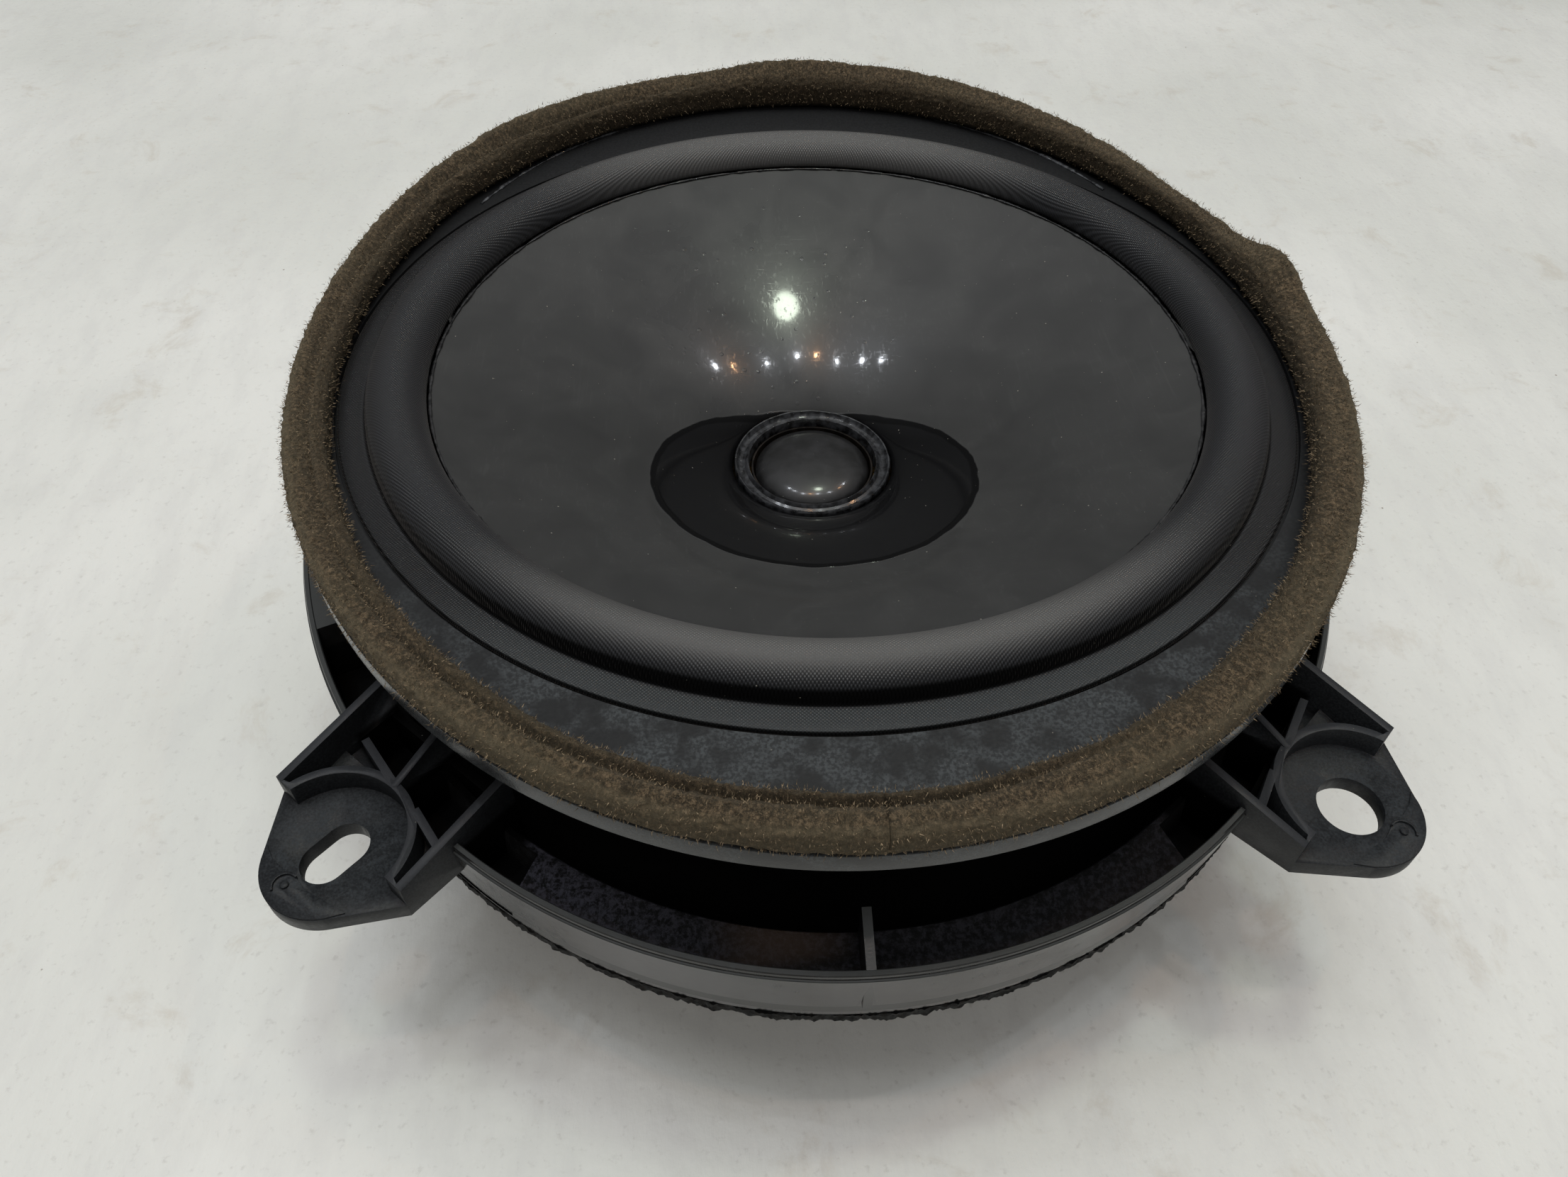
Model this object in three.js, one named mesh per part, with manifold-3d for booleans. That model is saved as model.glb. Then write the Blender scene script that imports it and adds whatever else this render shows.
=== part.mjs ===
// Car door loudspeaker, 6.5 inch class: a round cone in an oval plastic basket with four ears.
// Millimetres. The origin is the centre of the motor's flat back face, +Z points out of the cone,
// -Y is the front of the oval and its long axis runs along Y.
import * as THREE from "three";
import { mergeVertices } from "three/addons/utils/BufferGeometryUtils.js";
import Module from "manifold-3d";

const wasm = await Module();
wasm.setup();

// ---------------------------------------------------------------- driving dimensions

const GAP = 0.3; // between pieces that touch

const OVAL_EXTRA = 10.8; // the oval's half length less its half width

// motor, from the back face up
const YOKE_RADIUS = 38;
const YOKE_THICKNESS = 4.5;
const POLE_RADIUS = 9.6;
const POLE_TOP = 20;
const MAGNET_OUTER = 40;
const MAGNET_INNER = 22;
const MAGNET_TOP = 15.2;
const TOP_PLATE_OUTER = 36;
const TOP_PLATE_INNER = 12.6;
const TOP_PLATE_TOP = 20;

// moving parts
const FORMER_INNER = 10.25;
const FORMER_OUTER = 10.6;
const FORMER_BOTTOM = 14;
const FORMER_TOP = 41.2;
const COIL_OUTER = 11.7;
const COIL_BOTTOM = 14.2;
const COIL_TOP = 22.4;
const NECK_RADIUS = 13.9; // inner edge of the cone
const NECK_HEIGHT = 40; // level of the cone's inner edge
const CONE_RADIUS = 60.5;
const CONE_HEIGHT = 62.9; // level of the cone's outer edge
const CONE_THICKNESS = 0.7;
const CONE_FLARE = 0.74; // under 1 makes the cone steep at the neck and flat at the edge
const CAP_RADIUS = 9.9;
const CAP_EDGE = 38.6; // level of the dust cap's edge
const CAP_RISE = 3.2;
const CAP_THICKNESS = 0.6;
const NECK_RING_BOTTOM = 38.2; // the ring of glue between the cone and the former
const NECK_RING_TOP = 41;
const NECK_RING_DIP = 0.6; // the groove between its two crests

// surround
const ROLL_OUTER = 69.8; // groove outside the half roll
const ROLL_RISE = 4.6;
const SURROUND_RADIUS = 74;
const CLOTH = 0.6;

// spider
const SPIDER_OUTER = 38.5;
const SPIDER_LEVEL = 29;
const SPIDER_RAISE = 0.9; // from the glued edge up to the corrugated part
const SPIDER_STEP_INNER = 32.6;
const SPIDER_STEP_OUTER = 33.4;

// basket cage: a flat motor seat, sloping spokes and an upright wall
const SEAT_INNER = 24;
const SEAT_OUTER = 41;
const SEAT_BOTTOM = 20.3;
const SEAT_TOP = 22.5;
const SPIDER_WELL = 32; // space over the motor, under the spider
const SPOKE_FOOT = 43;
const SPOKE_KNEE_RADIUS = 58;
const SPOKE_KNEE_LEVEL = 38;
const SPOKE_THICKNESS = 1.6;
const WALL_FOOT_LEVEL = 46;
const CAGE_RADIUS = 68.4;
const WALL = 2;
const WINDOW_COUNT = 6;
const WINDOW_HALF_ANGLE = 22;
const WINDOW_INNER = 44;
const WINDOW_TOP = 56.5;

// basket rim
const RIM_RADIUS = 80;
const RIM_BOTTOM = 60.4;
const RIM_TOP = 63.4;
const RIM_EDGE = 0.4;
const LIP_WIDTH = 1; // a lip round the rim keeps the foam in place
const LIP_TOP = 64.6;
const CLOTH_SEAT = 62.5; // recess for the surround's flat edge

// mounting ring: an upright wall round a shelf that falls towards it
const RING_RADIUS = 84.2;
const RING_BOTTOM = 29.5;
const RING_TOP = 43.6;
const RING_WALL = 1.8;
const RING_STEP = 0.4; // shallow step outside, just under the top
const RING_STEP_HEIGHT = 1.3;
const FOOT_INNER = 79.5; // the wall stands on a wider foot
const FOOT_HEIGHT = 2;
const SHELF_TOP = 38;
const SHELF_BEND = 76.5; // the shelf is level inside this radius
const SHELF_DROP = 2.6;
const SHELF_THICKNESS = 2;

// the ring's well: a closed channel between the shelf and the foot of the cage
const WELL_OUTER = 75.5;
const WELL_WALL = 1.6;
const WELL_INNER = 44.6;
const WELL_FLOOR = 29.4;
const WELL_BOTTOM = 27.8;
const WELL_CORNER = 1;

// upright ribs on the shelf, and the solid webs at both ends of the short axis
const TIE_INNER = 76.2;
const TIE_RISE = 2.4;
const TIE_THICKNESS = 1.4;
const TIE_AZIMUTHS = [0, 180];
const WEB_HALF_ANGLE = 23.5;
const WEB_AZIMUTHS = [90, -90];

// gaskets
const FRONT_FOAM_TOP = 69;
const FRONT_FOAM_INNER = 74;
const FRONT_FOAM_OUTER = 80.2;
const FOAM_CORNER = 1.4;
const FOAM_TOP_CORNER = 2; // the outer top corner is the softest
const FOAM_LEAN = 0.4;
const BASE_FOAM_THICKNESS = 1.7;
const BASE_FOAM_INNER = 78.6;
const BASE_FOAM_OUTER = 83.4;

// mounting ears
const EAR_AZIMUTH = 42.8; // degrees from the long axis
const HOLE_RADIAL = 99.3; // hole centre to speaker axis
const HOLE_RADIUS = 4.45;
const SLOT_LENGTH = 9.6;
const SLOT_WIDTH = 6.2;
const PAD_TOP = 40;
const PAD_THICKNESS = 2.6;
const PAD_TIP_RADIUS = 8.7;
const PAD_TIP_OFFSET = 1; // the rounded tip is centred this far outside the hole
const PAD_TIP_HALF_TURN = 52;
const EAR_HALF_WIDTH = 13.1;
const EAR_WALL = 1.2;
const EAR_END = 98; // outer ends of the side walls, from the speaker axis
const EAR_ROOT = 80.6;
const EAR_RISE = 0.2; // side walls rise towards the basket by this slope
const CUP_RADIUS = 10; // inside of the curved wall round the hole
const CUP_WALL = 1.2;
const CROSS_RIB_RADIAL = 88.7;
const EAR_RIB = 1.1;
const EAR_BOTTOM = 30.1; // inside the mounting ring's wall; outside it the ear ends at the pad's underside
const EAR_FLOOR = 1.4;

const COARSE = 56; // facets round the large rings
const FINE = 32; // facets round the small turned parts

// ---------------------------------------------------------------- geometry helpers

const degrees = THREE.MathUtils.degToRad;

function solidOf(geometry) {
  const bare = geometry.clone();
  bare.deleteAttribute("normal");
  bare.deleteAttribute("uv");
  const merged = mergeVertices(bare, 1e-4);
  const mesh = new wasm.Mesh({
    numProp: 3,
    vertProperties: new Float32Array(merged.attributes.position.array),
    triVerts: new Uint32Array(merged.index.array),
  });
  mesh.merge();
  return new wasm.Manifold(mesh);
}

function geometryOf(solid) {
  const mesh = solid.getMesh();
  const geometry = new THREE.BufferGeometry();
  geometry.setAttribute("position", new THREE.BufferAttribute(new Float32Array(mesh.vertProperties), 3));
  geometry.setIndex(new THREE.BufferAttribute(new Uint32Array(mesh.triVerts), 1));
  geometry.computeVertexNormals();
  return geometry;
}

function signedArea(points) {
  let area = 0;
  points.forEach(([x, y], i) => {
    const [nextX, nextY] = points[(i + 1) % points.length];
    area += x * nextY - nextX * y;
  });
  return area / 2;
}

// a turned body about Z from an outline of [radius, z] points; an outline that starts and ends on
// the axis makes a solid, any other is closed into a ring
function turned(outline, facets) {
  const onAxis = outline[0][0] === 0 && outline.at(-1)[0] === 0;
  const ordered = signedArea(outline) > 0 ? outline : [...outline].reverse();
  const closed = onAxis ? ordered : [...ordered, ordered[0]];
  const geometry = new THREE.LatheGeometry(closed.map(([r, z]) => new THREE.Vector2(r, z)), facets);
  return geometry.rotateX(Math.PI / 2);
}

// stretches a turned body along Y into an oval; what lies inside roundRadius stays round
function oval(geometry, roundRadius = 0) {
  const position = geometry.attributes.position;
  for (let i = 0; i < position.count; i += 1) {
    const radius = Math.hypot(position.getX(i), position.getY(i));
    if (radius > roundRadius) {
      position.setY(i, position.getY(i) * (1 + OVAL_EXTRA / radius));
    }
  }
  return geometry;
}

// an upright prism from a flat outline
function prism(shape, bottom, top, curveSegments = 12) {
  const geometry = new THREE.ExtrudeGeometry(shape, {
    depth: top - bottom,
    bevelEnabled: false,
    curveSegments,
  });
  return geometry.translate(0, 0, bottom);
}

function box(low, high) {
  const size = high.map((value, i) => value - low[i]);
  const geometry = new THREE.BoxGeometry(...size);
  return geometry.translate(...low.map((value, i) => value + size[i] / 2));
}

function outlineShape(points) {
  return new THREE.Shape(points.map(([x, y]) => new THREE.Vector2(x, y)));
}

function union(geometries) {
  return geometries.map(solidOf).reduce((whole, piece) => whole.add(piece));
}

function cut(solid, geometries) {
  return geometries.map(solidOf).reduce((whole, piece) => whole.subtract(piece), solid);
}

// an arc-shaped opening between two radii and two azimuths, measured from -Y
function sectorPrism(inner, outer, from, to, bottom, top) {
  const steps = 8;
  const point = (radius, azimuth) => [
    radius * Math.sin(degrees(azimuth)),
    -radius * Math.cos(degrees(azimuth)),
  ];
  const azimuths = Array.from({ length: steps + 1 }, (_, i) => from + ((to - from) * i) / steps);
  const points = [
    ...azimuths.map((a) => point(outer, a)),
    ...azimuths.reverse().map((a) => point(inner, a)),
  ];
  return prism(outlineShape(points), bottom, top);
}

// turns a body made along +X so that it points at an azimuth measured from -Y towards +X
function toAzimuth(geometry, azimuth) {
  return geometry.rotateZ(degrees(azimuth - 90));
}

function material(color, roughness, metalness = 0) {
  return new THREE.MeshStandardMaterial({ color, roughness, metalness });
}

const MATERIALS = {
  plastic: material(0x17181a, 0.45),
  cone: material(0x131415, 0.25),
  cloth: material(0x1a1b1c, 0.9),
  foam: material(0x5c5138, 1),
  gasket: material(0x0f0f10, 1),
  glue: material(0x2c2f31, 0.3),
  steel: material(0x9a9c9e, 0.4, 0.9),
  ferrite: material(0x2b2b2d, 0.7),
  copper: material(0xa8623a, 0.4, 0.8),
  spider: material(0xb38a3e, 0.9),
  film: material(0x1c1512, 0.4),
};

const speaker = new THREE.Group();

function add(name, geometry, look) {
  const mesh = new THREE.Mesh(geometry, MATERIALS[look]);
  mesh.name = name;
  speaker.add(mesh);
}

// ---------------------------------------------------------------- motor

const RIVET_RADIAL = 28;
const RIVET_HEAD = 2.4;
const RIVET_SHANK = 1.3;
const RIVET_BOTTOM = 16.6;
const RIVET_HEAD_HEIGHT = 1.2;
const rivetAzimuths = [45, 135, 225, 315];

function rivetPlace(azimuth) {
  return [RIVET_RADIAL * Math.sin(degrees(azimuth)), -RIVET_RADIAL * Math.cos(degrees(azimuth))];
}

function rivetHoles() {
  return rivetAzimuths.map((azimuth) => {
    const hole = turned([[0, RIVET_BOTTOM - GAP], [RIVET_SHANK + GAP, RIVET_BOTTOM - GAP],
      [RIVET_SHANK + GAP, SEAT_TOP + 1], [0, SEAT_TOP + 1]], 10);
    return hole.translate(...rivetPlace(azimuth), 0);
  });
}

function addMotor() {
  add("back_yoke", turned([[0, 0], [YOKE_RADIUS - 0.8, 0], [YOKE_RADIUS, 0.8],
    [YOKE_RADIUS, YOKE_THICKNESS], [POLE_RADIUS, YOKE_THICKNESS], [POLE_RADIUS, POLE_TOP - 0.6],
    [POLE_RADIUS - 0.6, POLE_TOP], [0, POLE_TOP]], FINE), "steel");
  add("magnet_ring", turned([[MAGNET_INNER, YOKE_THICKNESS + GAP], [MAGNET_OUTER, YOKE_THICKNESS + GAP],
    [MAGNET_OUTER, MAGNET_TOP], [MAGNET_INNER, MAGNET_TOP]], FINE), "ferrite");
  const plate = turned([[TOP_PLATE_INNER, MAGNET_TOP + GAP], [TOP_PLATE_OUTER, MAGNET_TOP + GAP],
    [TOP_PLATE_OUTER, TOP_PLATE_TOP], [TOP_PLATE_INNER, TOP_PLATE_TOP]], FINE);
  add("top_plate", geometryOf(cut(solidOf(plate), rivetHoles())), "steel");
  rivetAzimuths.forEach((azimuth, i) => {
    const head = SEAT_TOP + GAP;
    const rivet = turned([[0, RIVET_BOTTOM], [RIVET_SHANK, RIVET_BOTTOM], [RIVET_SHANK, head],
      [RIVET_HEAD, head], [RIVET_HEAD * 0.7, head + RIVET_HEAD_HEIGHT * 0.8],
      [0, head + RIVET_HEAD_HEIGHT]], 10);
    add(`motor_rivet_${i + 1}`, rivet.translate(...rivetPlace(azimuth), 0), "steel");
  });
}

// ---------------------------------------------------------------- basket

function cageWindows() {
  const pitch = 360 / WINDOW_COUNT;
  return Array.from({ length: WINDOW_COUNT }, (_, i) => {
    const middle = (i + 0.5) * pitch;
    return sectorPrism(WINDOW_INNER, RIM_RADIUS, middle - WINDOW_HALF_ANGLE, middle + WINDOW_HALF_ANGLE,
      SEAT_TOP + 1, WINDOW_TOP);
  });
}

function addBasket() {
  const spiderSeat = SPIDER_LEVEL - GAP;
  const wallTop = RIM_BOTTOM - GAP;
  const cage = turned([
    [SEAT_INNER, SEAT_BOTTOM],
    [SEAT_OUTER, SEAT_BOTTOM],
    [SPOKE_FOOT, spiderSeat],
    [SPOKE_KNEE_RADIUS, SPOKE_KNEE_LEVEL],
    [CAGE_RADIUS, WALL_FOOT_LEVEL],
    [CAGE_RADIUS, wallTop],
    [CAGE_RADIUS - WALL, wallTop],
    [CAGE_RADIUS - WALL, WALL_FOOT_LEVEL + SPOKE_THICKNESS / 2],
    [SPOKE_KNEE_RADIUS - SPOKE_THICKNESS, SPOKE_KNEE_LEVEL + SPOKE_THICKNESS],
    [SPOKE_FOOT - WALL, spiderSeat],
    [SPIDER_WELL, spiderSeat],
    [SPIDER_WELL, SEAT_TOP],
    [SEAT_INNER, SEAT_TOP],
  ], COARSE);
  add("basket_cage", geometryOf(cut(solidOf(cage), [...cageWindows(), ...rivetHoles()])), "plastic");

  const seatRadius = SURROUND_RADIUS + 0.4;
  const rim = turned([
    [CAGE_RADIUS - WALL, RIM_BOTTOM],
    [RIM_RADIUS - RIM_EDGE, RIM_BOTTOM],
    [RIM_RADIUS, RIM_BOTTOM + RIM_EDGE],
    [RIM_RADIUS, LIP_TOP - RIM_EDGE],
    [RIM_RADIUS - RIM_EDGE, LIP_TOP],
    [RIM_RADIUS - LIP_WIDTH, LIP_TOP],
    [RIM_RADIUS - LIP_WIDTH, RIM_TOP],
    [seatRadius, RIM_TOP],
    [seatRadius, CLOTH_SEAT],
    [CAGE_RADIUS - WALL, CLOTH_SEAT],
  ], COARSE);
  add("basket_rim", oval(rim, seatRadius + 0.1), "plastic");
}

const earAzimuths = { front_left: -EAR_AZIMUTH, front_right: EAR_AZIMUTH,
  rear_right: 180 - EAR_AZIMUTH, rear_left: 180 + EAR_AZIMUTH };

// a solid block between the wall and the well, at one end of the short axis
function sideWeb(azimuth) {
  const [from, to] = [azimuth - WEB_HALF_ANGLE, azimuth + WEB_HALF_ANGLE];
  const inner = WELL_OUTER + WELL_WALL / 2;
  const outer = RING_RADIUS - RING_WALL / 2;
  return oval(sectorPrism(inner, outer, from, to, SHELF_TOP - SHELF_THICKNESS, RING_TOP));
}

// an upright rib that ties the ring's wall to the shelf
function tieRib(azimuth) {
  const length = Math.abs(Math.cos(degrees(azimuth))) > 0.5 ? OVAL_EXTRA : 0;
  const outer = RING_RADIUS - RING_WALL / 2 + length;
  const profile = outlineShape([
    [TIE_INNER + length, SHELF_TOP - SHELF_THICKNESS / 2],
    [outer, SHELF_TOP - SHELF_DROP - SHELF_THICKNESS / 2],
    [outer, RING_TOP - RING_STEP],
    [TIE_INNER + length, RING_TOP + TIE_RISE],
  ]);
  const rib = new THREE.ExtrudeGeometry(profile, { depth: TIE_THICKNESS, bevelEnabled: false });
  rib.rotateX(Math.PI / 2).translate(0, TIE_THICKNESS / 2, 0);
  return toAzimuth(rib, azimuth);
}

// all that lies outside a radius of the oval and below a level
function outsideOval(radius, top) {
  const far = 2 * RING_RADIUS;
  return oval(turned([[radius, 0], [far, 0], [far, top], [radius, top]], COARSE));
}

function addMountingRing() {
  const wallInner = RING_RADIUS - RING_WALL;
  const stepLevel = RING_TOP - RING_STEP_HEIGHT;
  const wellWall = WELL_OUTER + WELL_WALL;
  const ring = turned([
    [WELL_INNER, WELL_BOTTOM],
    [wellWall - WELL_CORNER, WELL_BOTTOM],
    [wellWall, WELL_BOTTOM + WELL_CORNER],
    [wellWall, SHELF_TOP - SHELF_THICKNESS],
    [wallInner, SHELF_TOP - SHELF_DROP - SHELF_THICKNESS],
    [wallInner, RING_BOTTOM + FOOT_HEIGHT],
    [FOOT_INNER, RING_BOTTOM + FOOT_HEIGHT],
    [FOOT_INNER, RING_BOTTOM],
    [RING_RADIUS - RING_STEP, RING_BOTTOM],
    [RING_RADIUS, stepLevel],
    [RING_RADIUS - RING_STEP, stepLevel + RING_STEP / 2],
    [RING_RADIUS - RING_STEP, RING_TOP],
    [wallInner, RING_TOP],
    [wallInner, SHELF_TOP - SHELF_DROP],
    [SHELF_BEND, SHELF_TOP],
    [WELL_OUTER, SHELF_TOP],
    [WELL_OUTER, WELL_FLOOR + WELL_CORNER],
    [WELL_OUTER - WELL_CORNER, WELL_FLOOR],
    [WELL_INNER, WELL_FLOOR],
  ], COARSE);
  const whole = union([
    oval(ring, WELL_INNER + 1),
    ...TIE_AZIMUTHS.map(tieRib),
    ...WEB_AZIMUTHS.map(sideWeb),
  ]);
  // room for the ears, except where the wall runs on below them
  const side = EAR_HALF_WIDTH + GAP;
  const wallBelow = outsideOval(wallInner, PAD_TOP - PAD_THICKNESS - GAP);
  const notches = Object.values(earAzimuths).map((azimuth) => {
    const room = box([EAR_ROOT - GAP, -side, RING_BOTTOM - 1], [RING_RADIUS + OVAL_EXTRA, side, RIM_BOTTOM]);
    return geometryOf(cut(solidOf(toAzimuth(room, azimuth)), [wallBelow]));
  });
  add("mounting_ring", geometryOf(cut(whole, notches)), "plastic");
}

// ---------------------------------------------------------------- mounting ears

function arcPoints(radius, from, to, steps, centreX = 0) {
  return Array.from({ length: steps + 1 }, (_, i) => {
    const angle = degrees(from + ((to - from) * i) / steps);
    return [centreX + radius * Math.cos(angle), radius * Math.sin(angle)];
  });
}

function slotOutline(length, width) {
  const half = (length - width) / 2;
  return [
    ...arcPoints(width / 2, -90, 90, 8, HOLE_RADIAL + half),
    ...arcPoints(width / 2, 90, 270, 8, HOLE_RADIAL - half),
  ];
}

function sideWall(side) {
  const inner = EAR_HALF_WIDTH - EAR_WALL;
  const rise = (EAR_END - EAR_ROOT) * EAR_RISE;
  const profile = outlineShape([
    [EAR_ROOT, EAR_BOTTOM],
    [EAR_END, EAR_BOTTOM],
    [EAR_END, RING_TOP],
    [EAR_ROOT, RING_TOP + rise],
  ]);
  const wall = new THREE.ExtrudeGeometry(profile, { depth: EAR_WALL, bevelEnabled: false });
  wall.rotateX(Math.PI / 2);
  return wall.translate(0, side > 0 ? EAR_HALF_WIDTH : -inner, 0);
}

function earPad() {
  const tipCentre = HOLE_RADIAL + PAD_TIP_OFFSET;
  const outline = [
    [EAR_END, -EAR_HALF_WIDTH],
    ...arcPoints(PAD_TIP_RADIUS, -PAD_TIP_HALF_TURN, PAD_TIP_HALF_TURN, 14, tipCentre),
    [EAR_END, EAR_HALF_WIDTH],
    ...arcPoints(CUP_RADIUS + CUP_WALL / 2, 100, 260, 14, HOLE_RADIAL),
  ];
  return prism(outlineShape(outline), PAD_TOP - PAD_THICKNESS, PAD_TOP);
}

// the curved wall round the hole, its ends turned out to meet the side walls
function cupWall() {
  const outline = [
    ...arcPoints(CUP_RADIUS + CUP_WALL, 100, 260, 16, HOLE_RADIAL),
    [EAR_END, -EAR_HALF_WIDTH],
    [EAR_END, -CUP_RADIUS + 0.1],
    ...arcPoints(CUP_RADIUS, 259, 101, 16, HOLE_RADIAL),
    [EAR_END, CUP_RADIUS - 0.1],
    [EAR_END, EAR_HALF_WIDTH],
  ];
  return prism(outlineShape(outline), PAD_TOP - PAD_THICKNESS, RING_TOP);
}

function earFloor(level) {
  const half = EAR_HALF_WIDTH - EAR_WALL / 2;
  return box([EAR_ROOT, -half, level], [EAR_END, half, level + EAR_FLOOR]);
}

function earBody() {
  const inner = EAR_HALF_WIDTH - EAR_WALL / 2;
  const half = EAR_RIB / 2;
  const crossInner = CROSS_RIB_RADIAL - half;
  const crossRib = box([crossInner, -inner, EAR_BOTTOM], [CROSS_RIB_RADIAL + half, inner, RING_TOP]);
  const middleRib = box([EAR_ROOT, -half, EAR_BOTTOM], [CROSS_RIB_RADIAL, half, RING_TOP]);
  const rootWeb = box([EAR_ROOT, -inner, EAR_BOTTOM], [EAR_ROOT + EAR_RIB, inner, RING_TOP + 1]);
  const walls = [sideWall(1), sideWall(-1), crossRib, middleRib, rootWeb];
  return geometryOf(union([...walls, earFloor(EAR_BOTTOM), earPad(), cupWall()]));
}

function earHole(slotted) {
  const outline = slotted ? slotOutline(SLOT_LENGTH, SLOT_WIDTH)
    : arcPoints(HOLE_RADIUS, 0, 345, 23, HOLE_RADIAL);
  return prism(outlineShape(outline), 0, RIM_TOP);
}

function addEars() {
  const slottedEars = ["front_left", "rear_right"];
  const padBottom = PAD_TOP - PAD_THICKNESS;
  const wallInner = RING_RADIUS - RING_WALL - GAP;
  const wall = outsideOval(wallInner, padBottom);
  const outside = solidOf(outsideOval(wallInner, padBottom + EAR_FLOOR));
  for (const [place, azimuth] of Object.entries(earAzimuths)) {
    const highFloor = solidOf(toAzimuth(earFloor(padBottom), azimuth)).intersect(outside);
    const whole = cut(solidOf(toAzimuth(earBody(), azimuth)), [wall]).add(highFloor);
    const hole = toAzimuth(earHole(slottedEars.includes(place)), azimuth);
    add(`mounting_ear_${place}`, geometryOf(cut(whole, [hole])), "plastic");
  }
}

// ---------------------------------------------------------------- gaskets

// the front strip leans inward over the rim and has soft corners
function addGaskets() {
  const bottom = RIM_TOP + GAP;
  const insideLip = RIM_RADIUS - LIP_WIDTH - GAP;
  add("front_foam_gasket", oval(turned([
    [FRONT_FOAM_INNER + FOAM_CORNER, bottom],
    [insideLip, bottom],
    [insideLip, LIP_TOP + GAP],
    [FRONT_FOAM_OUTER, LIP_TOP + GAP],
    [FRONT_FOAM_OUTER - FOAM_LEAN, FRONT_FOAM_TOP - FOAM_CORNER],
    [FRONT_FOAM_OUTER - FOAM_TOP_CORNER, FRONT_FOAM_TOP],
    [FRONT_FOAM_INNER + FOAM_CORNER, FRONT_FOAM_TOP],
    [FRONT_FOAM_INNER, FRONT_FOAM_TOP - FOAM_CORNER],
    [FRONT_FOAM_INNER + FOAM_LEAN, bottom + FOAM_CORNER],
  ], COARSE)), "foam");
  const top = RING_BOTTOM - GAP;
  add("base_gasket", oval(turned([
    [BASE_FOAM_INNER, top - BASE_FOAM_THICKNESS],
    [BASE_FOAM_OUTER, top - BASE_FOAM_THICKNESS],
    [BASE_FOAM_OUTER, top],
    [BASE_FOAM_INNER, top],
  ], COARSE)), "gasket");
}

// ---------------------------------------------------------------- cone, surround and coil

function coneLevel(radius) {
  const share = (radius - NECK_RADIUS) / (CONE_RADIUS - NECK_RADIUS);
  return NECK_HEIGHT + (CONE_HEIGHT - NECK_HEIGHT) * share ** CONE_FLARE;
}

function addMovingParts() {
  const steps = 8;
  const radii = Array.from({ length: steps + 1 }, (_, i) => {
    const share = (i / steps) ** 1.5;
    return NECK_RADIUS + (CONE_RADIUS - NECK_RADIUS) * share;
  });
  const face = radii.map((r) => [r, coneLevel(r)]);
  const back = radii.map((r) => [r, coneLevel(r) - CONE_THICKNESS - (r === NECK_RADIUS ? 1 : 0)]).reverse();
  add("cone", turned([...face, ...back], COARSE), "cone");

  const ringInner = FORMER_OUTER + GAP;
  const ringOuter = NECK_RADIUS - GAP;
  const ringWidth = ringOuter - ringInner;
  add("neck_ring", turned([
    [ringInner, NECK_RING_BOTTOM], [ringOuter, NECK_RING_BOTTOM], [ringOuter, NECK_RING_TOP - 0.4],
    [ringOuter - ringWidth * 0.2, NECK_RING_TOP],
    [ringOuter - ringWidth * 0.45, NECK_RING_TOP - NECK_RING_DIP],
    [ringInner + ringWidth * 0.25, NECK_RING_TOP - 0.1], [ringInner, NECK_RING_TOP - 0.4],
  ], FINE), "glue");
  add("coil_former", turned([
    [FORMER_INNER, FORMER_BOTTOM], [FORMER_OUTER, FORMER_BOTTOM], [FORMER_OUTER, FORMER_TOP],
    [FORMER_INNER, FORMER_TOP],
  ], FINE), "film");
  add("voice_coil", turned([
    [FORMER_OUTER + GAP, COIL_BOTTOM], [COIL_OUTER, COIL_BOTTOM], [COIL_OUTER, COIL_TOP],
    [FORMER_OUTER + GAP, COIL_TOP],
  ], FINE), "copper");

  const dome = arcPoints(1, 0, 90, 6).map(([x, y]) => [CAP_RADIUS * x, CAP_EDGE + CAP_RISE * y]);
  const underside = arcPoints(1, 90, 0, 6).map(([x, y]) => [
    (CAP_RADIUS - CAP_THICKNESS) * x,
    CAP_EDGE - CAP_THICKNESS + CAP_RISE * y,
  ]);
  dome[6][0] = 0;
  underside[0][0] = 0;
  add("dust_cap", turned([...underside, ...dome], FINE), "cone");
}

function addSurround() {
  const start = CONE_RADIUS + GAP;
  const middle = (start + ROLL_OUTER) / 2;
  const halfRoll = (ROLL_OUTER - start) / 2;
  const base = CLOTH_SEAT + GAP;
  const arc = (inset) => arcPoints(1, 180, 0, 7).map(([x, y]) => [
    middle + (halfRoll - inset) * x,
    base + inset + (ROLL_RISE - inset) * y,
  ]);
  const upper = arc(0).map(([r, z]) => [r, z + CLOTH]);
  const lower = arc(CLOTH * 0.8).map(([r, z]) => [r, z - CLOTH * 0.8]).reverse();
  add("surround", turned([
    ...upper, [SURROUND_RADIUS, base + CLOTH], [SURROUND_RADIUS, base], ...lower,
  ], COARSE), "cloth");
}

// the corrugated disc as a plain dished washer
function addSpider() {
  const inner = FORMER_OUTER + GAP;
  const raised = SPIDER_LEVEL + SPIDER_RAISE;
  const slant = CLOTH / 3;
  add("spider", turned([
    [inner, raised], [SPIDER_STEP_INNER, raised], [SPIDER_STEP_OUTER, SPIDER_LEVEL],
    [SPIDER_OUTER, SPIDER_LEVEL], [SPIDER_OUTER, SPIDER_LEVEL + CLOTH],
    [SPIDER_STEP_OUTER + slant, SPIDER_LEVEL + CLOTH], [SPIDER_STEP_INNER + slant, raised + CLOTH],
    [inner, raised + CLOTH],
  ], FINE), "spider");
}

// ---------------------------------------------------------------- connector and leads

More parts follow.
